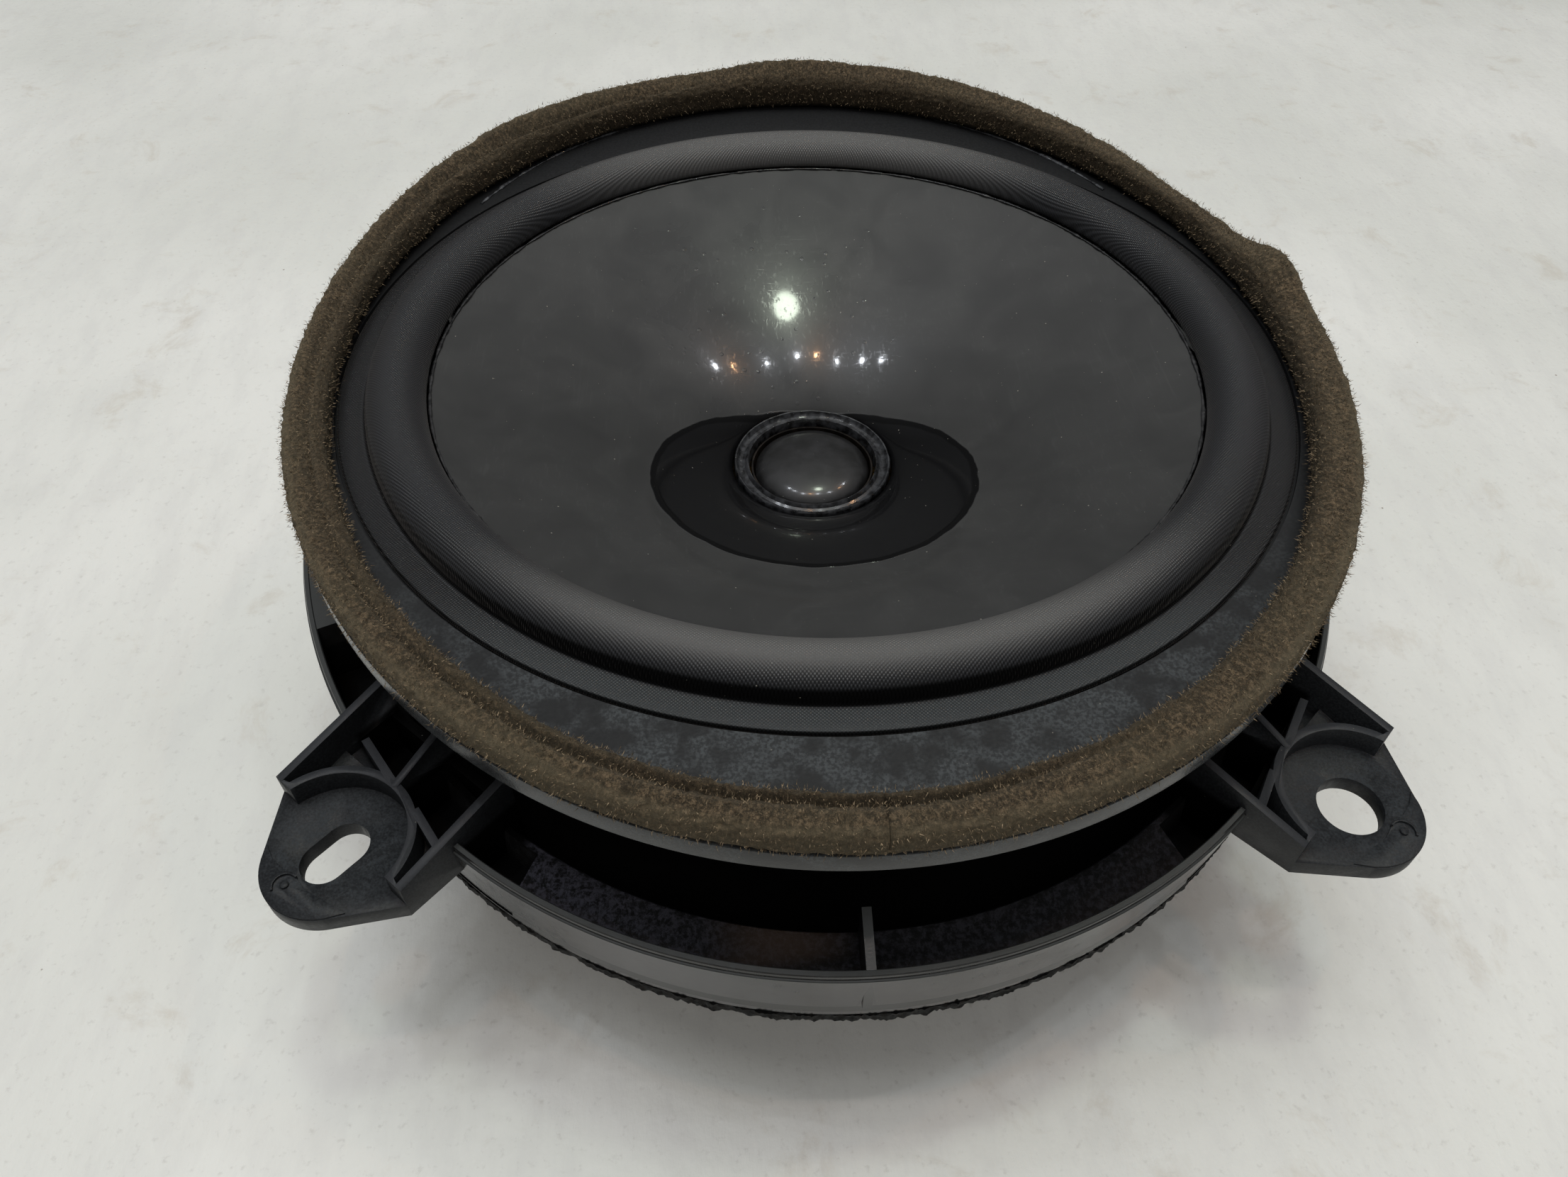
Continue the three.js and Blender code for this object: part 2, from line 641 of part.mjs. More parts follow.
const CONNECTOR_HALF_WIDTH = 11;
const CONNECTOR_NEAR = 46;
const CONNECTOR_FAR = 62;
const CONNECTOR_TOP = WELL_BOTTOM - GAP;
const CONNECTOR_BOTTOM = CONNECTOR_TOP - 13.2;
const CONNECTOR_WALL = 1.6;
const PIN_OFFSET = 4.2;
const LEAD_OFFSET = 6;
const TAG_LEVEL = 37;
const TAG_NEAR = 46.6;
const TAG_FAR = 51.2;
const TAG_HALF_WIDTH = 2.2;
const PIN_HALF_WIDTH = 1.4;
const BLADE_HALF_THICKNESS = 0.4;
const LEAD_RADIUS = 0.6;
// y and z of each lead, from its solder tag down and up again to the back of the cone
const LEAD_ROUTE = [[46.2, 37], [43, 36.8], [37, 34.2], [30, 35.6], [24, 40.4], [21.4, 43.4]];

function addConnector() {
  const half = CONNECTOR_HALF_WIDTH;
  const wall = CONNECTOR_WALL;
  const shell = box([-half, CONNECTOR_NEAR, CONNECTOR_BOTTOM], [half, CONNECTOR_FAR, CONNECTOR_TOP]);
  const socket = box([-half + wall, CONNECTOR_NEAR + wall, CONNECTOR_BOTTOM + wall],
    [half - wall, CONNECTOR_FAR + 1, CONNECTOR_TOP - wall]);
  add("connector_housing", geometryOf(cut(solidOf(shell), [socket])), "plastic");

  const middle = (CONNECTOR_BOTTOM + CONNECTOR_TOP) / 2;
  const thin = BLADE_HALF_THICKNESS;
  [-1, 1].forEach((side, i) => {
    const x = side * PIN_OFFSET;
    const pin = box([x - PIN_HALF_WIDTH, CONNECTOR_NEAR + wall + GAP, middle - thin],
      [x + PIN_HALF_WIDTH, CONNECTOR_FAR - 3, middle + thin]);
    add(`terminal_pin_${i + 1}`, pin, "steel");
    const tagX = side * LEAD_OFFSET;
    const tag = box([tagX - TAG_HALF_WIDTH, TAG_NEAR, TAG_LEVEL - thin],
      [tagX + TAG_HALF_WIDTH, TAG_FAR, TAG_LEVEL + thin]);
    add(`solder_tag_${i + 1}`, tag, "copper");
  });
}

function addLeads() {
  const sides = 8;
  const section = outlineShape(arcPoints(LEAD_RADIUS, 0, 360 - 360 / sides, sides - 1));
  [-1, 1].forEach((side, i) => {
    const route = LEAD_ROUTE.map(([y, z]) => new THREE.Vector3(side * LEAD_OFFSET, y, z));
    const tube = new THREE.ExtrudeGeometry(section, {
      steps: 16,
      bevelEnabled: false,
      extrudePath: new THREE.CatmullRomCurve3(route),
    });
    add(`tinsel_lead_${i + 1}`, tube, "copper");
  });
}

addMotor();
addBasket();
addMountingRing();
addEars();
addGaskets();
addMovingParts();
addSurround();
addSpider();
addConnector();
addLeads();

export default speaker;
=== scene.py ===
import math

import bmesh
import bpy
import numpy as np
from mathutils import Matrix, Quaternion, Vector, noise


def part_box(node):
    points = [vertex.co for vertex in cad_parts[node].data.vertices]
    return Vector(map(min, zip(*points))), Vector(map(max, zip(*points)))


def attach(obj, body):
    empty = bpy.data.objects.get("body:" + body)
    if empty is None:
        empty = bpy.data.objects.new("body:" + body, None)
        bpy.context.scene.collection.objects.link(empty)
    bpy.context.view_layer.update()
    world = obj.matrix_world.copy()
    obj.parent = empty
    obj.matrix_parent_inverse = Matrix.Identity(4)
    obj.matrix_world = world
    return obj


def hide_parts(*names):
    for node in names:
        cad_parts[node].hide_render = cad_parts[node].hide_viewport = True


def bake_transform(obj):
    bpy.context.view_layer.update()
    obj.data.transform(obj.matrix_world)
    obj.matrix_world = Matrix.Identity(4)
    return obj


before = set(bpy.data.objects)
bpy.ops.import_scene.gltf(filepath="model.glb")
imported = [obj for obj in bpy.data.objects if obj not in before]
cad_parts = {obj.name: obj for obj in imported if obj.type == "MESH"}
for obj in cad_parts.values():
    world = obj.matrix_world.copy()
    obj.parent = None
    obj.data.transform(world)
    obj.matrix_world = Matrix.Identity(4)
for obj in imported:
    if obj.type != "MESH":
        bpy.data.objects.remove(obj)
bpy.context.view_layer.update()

MM = 0.001
FRAME_BODY = "speaker_frame"
CONE_BODY = "cone_assembly"


def span(node):
    """The lowest and highest corner of a CAD node, in mm."""
    low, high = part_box(node)
    return Vector(low) / MM, Vector(high) / MM


# -------- sizes taken from the frame

RIM_LOW, RIM_HIGH = span("basket_rim")
RIM_RADIUS = RIM_HIGH.x
RIM_BOTTOM = RIM_LOW.z
LIP_TOP = RIM_HIGH.z
OVAL = RIM_HIGH.y - RIM_HIGH.x  # half length less half width of the oval
RING_RADIUS = span("mounting_ring")[1].x
FOAM_LOW, FOAM_HIGH = span("front_foam_gasket")
BASE_FOAM_LOW, BASE_FOAM_HIGH = span("base_gasket")
CONE_HIGH = span("cone")[1]
CONE_RADIUS = CONE_HIGH.x
SURROUND_LOW, SURROUND_HIGH = span("surround")
CAGE_TOP = span("basket_cage")[1].z

# -------- sizes that the frame's boxes don't give

RIM_TOP = 63.4  # the flat face inside the lip
LIP_WIDTH = 1.0
NECK_RADIUS = 13.9
NECK_LEVEL = 40.0
CONE_FLARE = 0.74
CONE_THICKNESS = 0.7
ROLL_INNER = CONE_RADIUS + 0.3
ROLL_OUTER = 69.8
CLOTH = 0.6
CLOTH_EDGE = 74.0
RING_WALL = 1.15
RING_TOP = 43.6
WELL_FLOOR = 29.4
SHELF_LEVEL = 38.0
SHELF_EDGE = 35.4
SHELF_HALF_ANGLE = 33.0
POCKET_FLOOR = 32.8
WEB_HALF_ANGLE = 23.5
EAR_AZIMUTH = 42.8
EAR_AZIMUTHS = {"front_left": -EAR_AZIMUTH, "front_right": EAR_AZIMUTH,
                "rear_right": 180 - EAR_AZIMUTH, "rear_left": 180 + EAR_AZIMUTH}
EAR_ROOT = 79.6
HOLE_RADIAL = 99.3
EAR_HALF_WIDTH = 13.1
EAR_WALL = 1.2
PAD_TOP = 40.0
PAD_THICKNESS = 2.6
PAD_BOTTOM = PAD_TOP - PAD_THICKNESS


# -------- mesh helpers

def shade(mesh, sharp_angle=32):
    """Smooth shading that breaks at edges sharper than sharp_angle."""
    mesh.shade_smooth()
    mesh.set_sharp_from_angle(angle=math.radians(sharp_angle))


def build(name, points, faces, sharp_angle=32):
    """An object from points in mm; faces are turned to point outwards."""
    mesh = bpy.data.meshes.new(name)
    mesh.from_pydata((np.array(points) * MM).tolist(), [], faces)
    work = bmesh.new()
    work.from_mesh(mesh)
    bmesh.ops.remove_doubles(work, verts=work.verts, dist=0.0002 * MM)
    bmesh.ops.recalc_face_normals(work, faces=work.faces)
    work.to_mesh(mesh)
    work.free()
    shade(mesh, sharp_angle)
    piece = bpy.data.objects.new(name, mesh)
    bpy.context.collection.objects.link(piece)
    return piece


def rounded(corners, radius=0.3, steps=3):
    """The closed outline with each corner turned into a short curve; a corner may carry its own radius."""
    outline = []
    for i, corner in enumerate(corners):
        here = Vector(corner[:2])
        before = Vector(corners[i - 1][:2]) - here
        after = Vector(corners[(i + 1) % len(corners)][:2]) - here
        wanted = corner[2] if len(corner) > 2 else radius
        if wanted == 0:
            outline.append(here)
            continue
        reach = wanted / math.tan(max(before.angle(after), 0.05) / 2)
        reach = min(reach, before.length * 0.45, after.length * 0.45)
        start = here + before.normalized() * reach
        end = here + after.normalized() * reach
        for k in range(steps + 1):
            t = k / steps
            outline.append(start * (1 - t) ** 2 + here * 2 * t * (1 - t) + end * t * t)
    return [tuple(point) for point in outline]


def circle(count, first=0.0):
    """Azimuths of a full turn."""
    return [first + 360 * i / count for i in range(count)]


def tube_faces(rings, sides, closed=False):
    """Faces between rings of points; an open tube gets a face at each end."""
    faces = []
    for i in range(rings if closed else rings - 1):
        here, there = i * sides, (i + 1) % rings * sides
        for j in range(sides):
            k = (j + 1) % sides
            faces.append((here + j, here + k, there + k, there + j))
    if not closed:
        faces.append(tuple(range(sides)))
        faces.append(tuple(range((rings - 1) * sides, rings * sides))[::-1])
    return faces


def turned(name, outline, azimuths=None, oval=0.0, shape=None, closed=True, sharp_angle=32):
    """A body turned about Z from a closed outline of (radius, level) points.

    oval lengthens radii along Y; it may be a function of the radius. shape(radius, azimuth, level)
    gives a point its own radius and level. An open turn is capped at both ends.
    """
    azimuths = azimuths or circle(288)
    points = []
    for azimuth in azimuths:
        sine, cosine = math.sin(math.radians(azimuth)), math.cos(math.radians(azimuth))
        for radius, level in outline:
            if shape:
                radius, level = shape(radius, azimuth, level)
            extra = oval(radius) if callable(oval) else oval
            points.append((radius * sine, -(radius + extra) * cosine, level))
    return build(name, points, tube_faces(len(azimuths), len(outline), closed), sharp_angle)


def prism(name, outline, bottom, top):
    """An upright prism on a flat outline; bottom and top are levels or functions of (x, y)."""
    def level(value, point):
        return value(*point) if callable(value) else value

    count = len(outline)
    points = [(x, y, level(bottom, (x, y))) for x, y in outline]
    points += [(x, y, level(top, (x, y))) for x, y in outline]
    faces = [tuple(range(count))[::-1], tuple(range(count, 2 * count))]
    faces += [(i, (i + 1) % count, (i + 1) % count + count, i + count) for i in range(count)]
    return build(name, points, faces)


def box_section(inner, outer, bottom, top):
    """The corners of a square section, as (radius, level) or (x, y)."""
    return [(inner, bottom), (outer, bottom), (outer, top), (inner, top)]


def block(name, low, high):
    return prism(name, box_section(low[0], high[0], low[1], high[1]), low[2], high[2])


def arc(radius, first, last, steps, centre=(0.0, 0.0)):
    """Points on an arc, angles in degrees from +X."""
    angles = [math.radians(first + (last - first) * i / steps) for i in range(steps + 1)]
    return [(centre[0] + radius * math.cos(a), centre[1] + radius * math.sin(a)) for a in angles]


def sector(name, inner, outer, first, last, bottom, top, steps=16):
    """A block between two radii and two azimuths."""
    azimuths = [first + (last - first) * i / steps for i in range(steps + 1)]
    return turned(name, box_section(inner, outer, bottom, top), azimuths, closed=False)


def applied(piece):
    """Turns a piece's modifiers into its mesh."""
    graph = bpy.context.evaluated_depsgraph_get()
    mesh = bpy.data.meshes.new_from_object(piece.evaluated_get(graph))
    piece.modifiers.clear()
    piece.data = mesh
    return piece


def combined(base, others, operation):
    """base joined with, or cut by, the other solids, which are used up."""
    for other in others:
        modifier = base.modifiers.new("solid", "BOOLEAN")
        modifier.operation = operation
        modifier.solver = "EXACT"
        modifier.object = other
        applied(base)
        bpy.data.objects.remove(other)
    return base


def softened(piece, width=0.2, segments=2, angle=35):
    """Rounds the sharp edges of a solid."""
    modifier = piece.modifiers.new("edges", "BEVEL")
    modifier.width = width * MM
    modifier.segments = segments
    modifier.limit_method = "ANGLE"
    modifier.angle_limit = math.radians(angle)
    modifier.harden_normals = True
    applied(piece)
    shade(piece.data, 50)
    return piece


def placed(piece, matrix):
    """Moves a mesh; a mirrored mesh is turned right side out again."""
    piece.data.transform(matrix)
    if matrix.determinant() < 0:
        piece.data.flip_normals()
    return piece


def finished(piece, surface, body, slot, *nodes):
    """Gives a piece its material and its body, and hides the CAD nodes that it stands for; slot is not used.
    """
    piece.data.materials.clear()
    piece.data.materials.append(surface)
    if body:
        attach(piece, body)
    if nodes:
        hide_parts(*nodes)
    return piece


def wander(size, *place):
    """Smooth noise from -1 to 1 that changes over about size mm."""
    return noise.noise(Vector(place) / size)


def ease(value, low, high):
    """0 below low, 1 above high, smooth between them."""
    share = min(max((value - low) / (high - low), 0.0), 1.0)
    return share * share * (3 - 2 * share)


# -------- material helpers

def grey(value):
    return (value, value, value)


class Surface:
    """A material whose nodes are added by short calls; each call returns an output socket."""

    def __init__(self, name, **settings):
        self.material = bpy.data.materials.new(name)
        self.material.use_nodes = True
        self.nodes = self.material.node_tree.nodes
        self.links = self.material.node_tree.links
        self.shader = self.nodes["Principled BSDF"]
        for socket, value in settings.items():
            self.feed(self.shader.inputs[socket.replace("_", " ")], value)
        coordinates = self.node("TexCoord", output="Object")
        self.place = self.node("VectorMath", {0: coordinates, 1: (1 / MM,) * 3}, operation="MULTIPLY")

    def feed(self, socket, value):
        if isinstance(value, bpy.types.NodeSocket):
            self.links.new(value, socket)
        elif socket.type == "RGBA":
            socket.default_value = (*value, 1)
        else:
            socket.default_value = value

    def node(self, kind, inputs=None, output=0, **settings):
        node = self.nodes.new("ShaderNode" + kind)
        for key, value in settings.items():
            setattr(node, key, value)
        for key, value in (inputs or {}).items():
            self.feed(node.inputs[key], value)
        return node.outputs[output]

    def math(self, operation, a, b=0.0):
        return self.node("Math", {0: a, 1: b}, operation=operation)

    def times(self, first, *others):
        for other in others:
            first = self.math("MULTIPLY", first, other)
        return first

    def plus(self, a, b):
        return self.math("ADD", a, b)

    def minus(self, a, b):
        return self.math("SUBTRACT", a, b)

    def larger(self, a, b):
        return self.math("MAXIMUM", a, b)

    def size(self, a):
        return self.math("ABSOLUTE", a)

    def distance(self, a, b):
        """Length of a flat vector."""
        return self.math("SQRT", self.plus(self.math("POWER", a, 2), self.math("POWER", b, 2)))

    def stretched(self, x, y, z, turn=0.0):
        """The place, turned about Z and stretched, in mm."""
        return self.node("Mapping", {"Vector": self.place, "Rotation": (0, 0, math.radians(turn)),
                                     "Scale": (x, y, z)})

    def noise(self, size, detail=3.0, place=None, distortion=0.0, roughness=0.5):
        return self.node("TexNoise", {"Vector": place or self.place, "Scale": 1 / size, "Detail": detail,
                                      "Roughness": roughness, "Distortion": distortion})

    def specks(self, size, radius, share):
        """Round specks of a radius in mm, one in some of the cells of a given size."""
        cells = self.nodes.new("ShaderNodeTexVoronoi")
        self.feed(cells.inputs["Vector"], self.place)
        self.feed(cells.inputs["Scale"], 1 / size)
        near = self.step(cells.outputs["Distance"], radius / size, radius / size * 0.6)
        chosen = self.node("SeparateColor", {0: cells.outputs["Color"]})
        return self.times(near, self.math("LESS_THAN", chosen, share))

    def step(self, value, low, high, to_low=0.0, to_high=1.0):
        return self.node("MapRange", {"Value": value, "From Min": low, "From Max": high,
                                      "To Min": to_low, "To Max": to_high}, interpolation_type="SMOOTHSTEP")

    def mix(self, share, first, second):
        return self.node("Mix", {0: share, 6: first, 7: second}, output=2, data_type="RGBA")

    def tint(self, tone, where, colour, share):
        """The tone, moved towards a colour by a share of a mask."""
        return self.mix(self.times(where, share), tone, colour)

    def axes(self, vector=None):
        node = self.nodes.new("ShaderNodeSeparateXYZ")
        self.feed(node.inputs[0], vector or self.place)
        return node.outputs

    def upright(self):
        """1 on faces that look up, -1 on faces that look down."""
        return self.axes(self.node("NewGeometry", output="Normal"))[2]

    def bump(self, height, depth, normal=None):
        """A bump of the given depth in mm."""
        inputs = {"Height": height, "Strength": 1.0, "Distance": depth * MM}
        if normal:
            inputs["Normal"] = normal
        return self.node("Bump", inputs)

    def finish(self, tone, rough, relief=None, **sockets):
        sockets.update({"Base_Color": tone, "Roughness": rough})
        if relief:
            sockets["Normal"] = relief
        for socket, value in sockets.items():
            self.feed(self.shader.inputs[socket.replace("_", " ")], value)
        return self.material


# -------- materials

def facing_out(s):
    """1 on smooth upright walls that face away from the axis, 0 elsewhere."""
    normal = s.node("NewGeometry", output="Normal")
    flat = s.node("VectorMath", {0: s.place, 1: (1, 1, 0)}, operation="MULTIPLY")
    outward = s.node("VectorMath", {0: flat}, operation="NORMALIZE")
    facing = s.node("VectorMath", {0: normal, 1: outward}, output="Value", operation="DOT_PRODUCT")
    return s.step(facing, 0.5, 0.8)


PLASTIC = 0.011
PLASTIC_STREAK = (0.0187, 0.01925, 0.02035)
PLASTIC_GRAIN = 0.02  # depth in mm


def moulded_plastic():
    """Black moulded plastic: smooth outer walls, grain inside, faint scuffs and dust, a painted highlight on
    the top of the ring's wall, a painted warm reflection on the front of the shelf, and painted shade that
    turns the well and the pockets near black.
    """
    s = Surface("basket_plastic")
    x, y, z = s.axes()
    smooth = facing_out(s)
    inside = s.step(smooth, 1, 0)
    upright = s.upright()
    shelf = s.times(s.step(z, 34, 34.6), s.step(z, 38.6, 38.2), s.step(upright, 0.5, 0.8))
    # painted highlight: the upward faces at the top of the ring's wall are lighter
    top = s.times(s.step(upright, 0.6, 0.9), s.step(z, RING_TOP - 1.6, RING_TOP - 1.3))
    # painted shade: the well inside the ring and the pockets by the ears are turned near black, with less
    # gloss
    well = s.step(z, SHELF_LEVEL - 4.6, SHELF_LEVEL - 5)
    slope = s.size(s.math("DIVIDE", x, y))
    pocket = s.times(s.step(slope, 0.58, 0.62), s.step(slope, 2.1, 2.0),
                     s.step(z, SHELF_LEVEL + 2, SHELF_LEVEL + 1))
    dark = s.times(s.larger(well, pocket), inside)

    clouds = s.noise(14, 4)
    streaks = s.noise(1.2, 5, s.stretched(1, 0.12, 0.5, 25))
    eroded = s.noise(0.8, 5, roughness=0.8)
    scuffed = s.times(s.step(s.noise(2.2, 6, roughness=0.65), 0.5, 0.75), s.step(clouds, 0.4, 0.65, 0, 0.5))
    tone = s.mix(s.step(streaks, 0.45, 0.8), grey(PLASTIC), PLASTIC_STREAK)
    tone = s.mix(scuffed, tone, (0.04, 0.042, 0.045))
    pitted = s.mix(s.step(eroded, 0.44, 0.6), grey(0.002), (0.024, 0.024, 0.03))
    pale_side = s.times(s.step(x, -10, -45, 0, 0.8), s.step(eroded, 0.4, 0.6))
    pitted = s.mix(pale_side, pitted, (0.045, 0.045, 0.06))
    # painted warm reflection on the front of the shelf
    warm = s.times(s.step(s.size(s.plus(x, 10.0)), 11, 1), s.step(y, -90.5, -88.5))
    pitted = s.tint(pitted, warm, (0.085, 0.055, 0.038), 0.4)
    tone = s.mix(shelf, tone, pitted)
    tone = s.tint(tone, top, (0.048, 0.052, 0.051), 0.7)
    tone = s.tint(tone, s.specks(2.4, 0.09, 0.35), (0.16, 0.155, 0.14), 0.5)
    # painted shade: near black in the well and the pockets
    tone = s.mix(dark, tone, grey(0.002))

    rough = s.plus(s.step(clouds, 0.3, 0.7, 0.3, 0.46), s.times(scuffed, 0.3))
    rough = s.minus(rough, s.times(smooth, 0.2))
    rough = s.plus(rough, s.times(s.larger(shelf, dark), 0.15))
    pits = s.bump(s.times(s.noise(0.35, 2), inside), PLASTIC_GRAIN)
    pits = s.bump(s.times(eroded, shelf), 0.3, pits)
    return s.finish(tone, rough, s.bump(streaks, PLASTIC_GRAIN * 0.8, pits),
                    Specular_IOR_Level=s.step(dark, 0, 1, 0.45, 0.1))


def ear_plastic():
    """The basket's plastic, with pale mottled scuffs on the pads round the screw holes, a painted highlight
    on the tops of the ribs and walls, and painted shade that turns the pockets inside the ring near black.
    """
    s = Surface("ear_plastic")
    x, y, z = s.axes()
    hole_x = HOLE_RADIAL * math.sin(math.radians(EAR_AZIMUTH))
    hole_y = HOLE_RADIAL * math.cos(math.radians(EAR_AZIMUTH))
    away_x = s.minus(s.size(x), hole_x)
    away_y = s.minus(s.size(y), hole_y)
    away = s.distance(away_x, away_y)
    upright = s.upright()
    on_pad = s.times(s.step(upright, 0.6, 0.9), s.step(z, PAD_TOP + 0.5, PAD_TOP + 0.3),
                     s.step(z, PAD_TOP - 0.6, PAD_TOP - 0.4))
    near_hole = s.times(s.step(away, 10.5, 7.5), on_pad)
    clouds = s.noise(2.6, 6, roughness=0.7, distortion=0.6)
    fine = s.noise(0.42, 5, roughness=0.75)
    worn = s.times(near_hole, s.step(s.times(clouds, fine), 0.2, 0.36))
    grain = s.noise(0.3, 3)
    base = s.mix(s.step(grain, 0.35, 0.7), (0.009, 0.0098, 0.011), (0.018, 0.02, 0.022))
    tone = s.mix(s.times(worn, 0.3), base, (0.045, 0.053, 0.06))
    # painted highlight on the upward faces at the top of the ribs and walls
    painted_highlight_tops = s.times(s.step(upright, 0.7, 0.95), s.step(z, PAD_TOP + 0.6, PAD_TOP + 1))
    tone = s.tint(tone, painted_highlight_tops, (0.036, 0.038, 0.042), 0.6)
    # painted shade: the parts of the ear inside the ring's wall, below its top, are turned near black, with
    # less gloss
    squeezed = s.times(y, RING_RADIUS / (RING_RADIUS + OVAL))
    radius = s.distance(x, squeezed)
    painted_shade_in_ring = s.times(s.step(radius, RING_RADIUS, RING_RADIUS - 1),
                     s.step(z, RING_TOP - 1, RING_TOP - 2.5))
    tone = s.mix(painted_shade_in_ring, tone, grey(0.002))
    dust = s.specks(1.9, 0.1, 0.3)
    tone = s.tint(tone, dust, (0.2, 0.2, 0.18), 0.45)
    rough = s.plus(s.step(clouds, 0.3, 0.7, 0.38, 0.5), s.times(worn, 0.2))
    return s.finish(tone, rough, s.bump(fine, 0.035),
                    Specular_IOR_Level=s.step(painted_shade_in_ring, 0, 1, 0.3, 0.08))


def rim_plastic():
    """Dark satin plastic of the flat rim, with speckled grey patches along the front where it was handled."""
    s = Surface("rim_plastic", Specular_IOR_Level=0.38)
    x, y, z = s.axes()
    blotches = s.noise(5, 4, roughness=0.55)
    speckle = s.noise(0.45, 4, roughness=0.7)
    handled = s.times(s.step(blotches, 0.38, 0.58), s.step(y, -35, -70),
                      s.step(speckle, 0.42, 0.6, 0.2, 1))
    tone = s.mix(speckle, (0.008, 0.0085, 0.009), (0.016, 0.0165, 0.0175))
    tone = s.tint(tone, handled, (0.055, 0.062, 0.066), 0.6)
    dust = s.specks(2.2, 0.11, 0.4)
    tone = s.tint(tone, dust, (0.17, 0.16, 0.14), 0.5)
    rough = s.minus(s.step(speckle, 0.35, 0.65, 0.33, 0.42), s.times(facing_out(s), 0.15))
    return s.finish(tone, rough, s.bump(speckle, 0.02))


GLUE_INNER = 14.0  # radius of the glue's edge at the back of the neck
GLUE_REACH = 24.7  # how much further it reaches at the front
GLUE_POWER = 1.45
GLUE_TURN = math.radians(4)


def glue_zone(s):
    """How far outside the edge of the lobe of glue round the cone's neck a point is, in mm."""
    x, y, z = s.axes()
    radius = s.distance(x, y)
    side = s.math("DIVIDE", x, radius)
    front = s.math("DIVIDE", s.times(y, -1.0), radius)
    turned_front = s.minus(s.times(front, math.cos(GLUE_TURN)), s.times(side, math.sin(GLUE_TURN)))
    share = s.math("POWER", s.times(s.plus(turned_front, 1.0), 0.5), GLUE_POWER)
    edge = s.plus(s.times(share, GLUE_REACH), GLUE_INNER)
    edge = s.plus(edge, s.step(s.noise(6, 2), 0.25, 0.75, -0.2, 0.2))
    return s.minus(radius, edge)


def cone_skin():
    """Glossy pressed cone: fine scratches and dust, and a darker glue film round the neck."""
    s = Surface("cone_skin", Coat_IOR=1.5)
    outside = glue_zone(s)
    film = s.step(outside, 0.1, -0.15)
    border = s.times(s.step(s.size(s.plus(outside, 0.6)), 0.75, 0.35), film)
    clouds = s.noise(11, 4, distortion=0.8)
    first = s.noise(0.5, 3, s.stretched(1, 0.035, 1, 32))
    second = s.noise(0.45, 3, s.stretched(1, 0.04, 1, -48))
    third = s.noise(0.4, 3, s.stretched(0.05, 1, 1, 8))
    scratches = s.larger(s.step(first, 0.58, 0.7), s.step(second, 0.6, 0.72))
    scratches = s.larger(scratches, s.step(third, 0.6, 0.72))
    x, y, z = s.axes()
    off_x, off_y = s.plus(x, 8.0), s.minus(y, 31.0)
    away = s.distance(off_x, off_y)
    wiped = s.step(s.plus(away, s.step(clouds, 0.3, 0.7, -5, 5)), 34, 12)
    scratches = s.times(scratches, s.step(clouds, 0.36, 0.6, 0.1, 0.5))
    scratches = s.larger(scratches, s.times(s.step(first, 0.56, 0.7, 0, 0.6), wiped))
    scratches = s.times(scratches, s.step(film, 0, 1, 1, 0.15))
    dust = s.larger(s.specks(3.1, 0.15, 0.5), s.specks(1.4, 0.08, 0.4))
    drops = s.times(s.specks(2.2, 0.4, 0.5), wiped)
    smears = s.times(s.step(s.noise(5, 5, s.stretched(0.3, 1, 1, 4), roughness=0.6), 0.5, 0.68),
                    s.step(clouds, 0.48, 0.64))
    tone = s.mix(clouds, (0.02, 0.0205, 0.0205), (0.038, 0.0385, 0.038))
    tone = s.tint(tone, smears, (0.05, 0.052, 0.05), 0.12)
    tone = s.tint(tone, scratches, (0.06, 0.062, 0.062), 0.25)
    tone = s.tint(tone, film, (0.002, 0.002, 0.0024), 0.95)
    tone = s.tint(tone, border, (0.0005, 0.0005, 0.0005), 0.6)
    tone = s.tint(tone, dust, (0.24, 0.23, 0.2), 0.7)
    rough = s.minus(s.step(clouds, 0.3, 0.7, 0.36, 0.44), s.times(wiped, 0.12))
    coat = s.plus(s.step(smears, 0, 1, 0.06, 0.14), s.times(dust, 0.4))
    coat = s.plus(coat, s.times(scratches, 0.3))
    coat = s.minus(coat, s.times(film, 0.025))
    relief = s.bump(scratches, -0.004, s.bump(s.noise(22, 2), 0.05))
    relief = s.bump(dust, 0.06, relief)
    relief = s.bump(drops, 0.03, relief)
    relief = s.bump(film, 0.12, relief)
    return s.finish(tone, rough, relief, Coat_Roughness=coat, Coat_Normal=relief,
                    Specular_IOR_Level=s.step(film, 0, 1, 0.36, 0.12),
                    Coat_Weight=s.minus(0.5, s.times(border, 0.25)))


def weave(s, pitch, turn=0.0):
    """Height of a plain weave: 1 on top of a thread, 0 in the holes."""
    x, y, z = s.axes(s.stretched(1, 1, 1, turn))
    wave = [s.math("SINE", s.times(axis, math.pi / pitch)) for axis in (x, y)]
    over = s.times(wave[0], wave[1])
    return s.step(over, -1.0, 1.0)


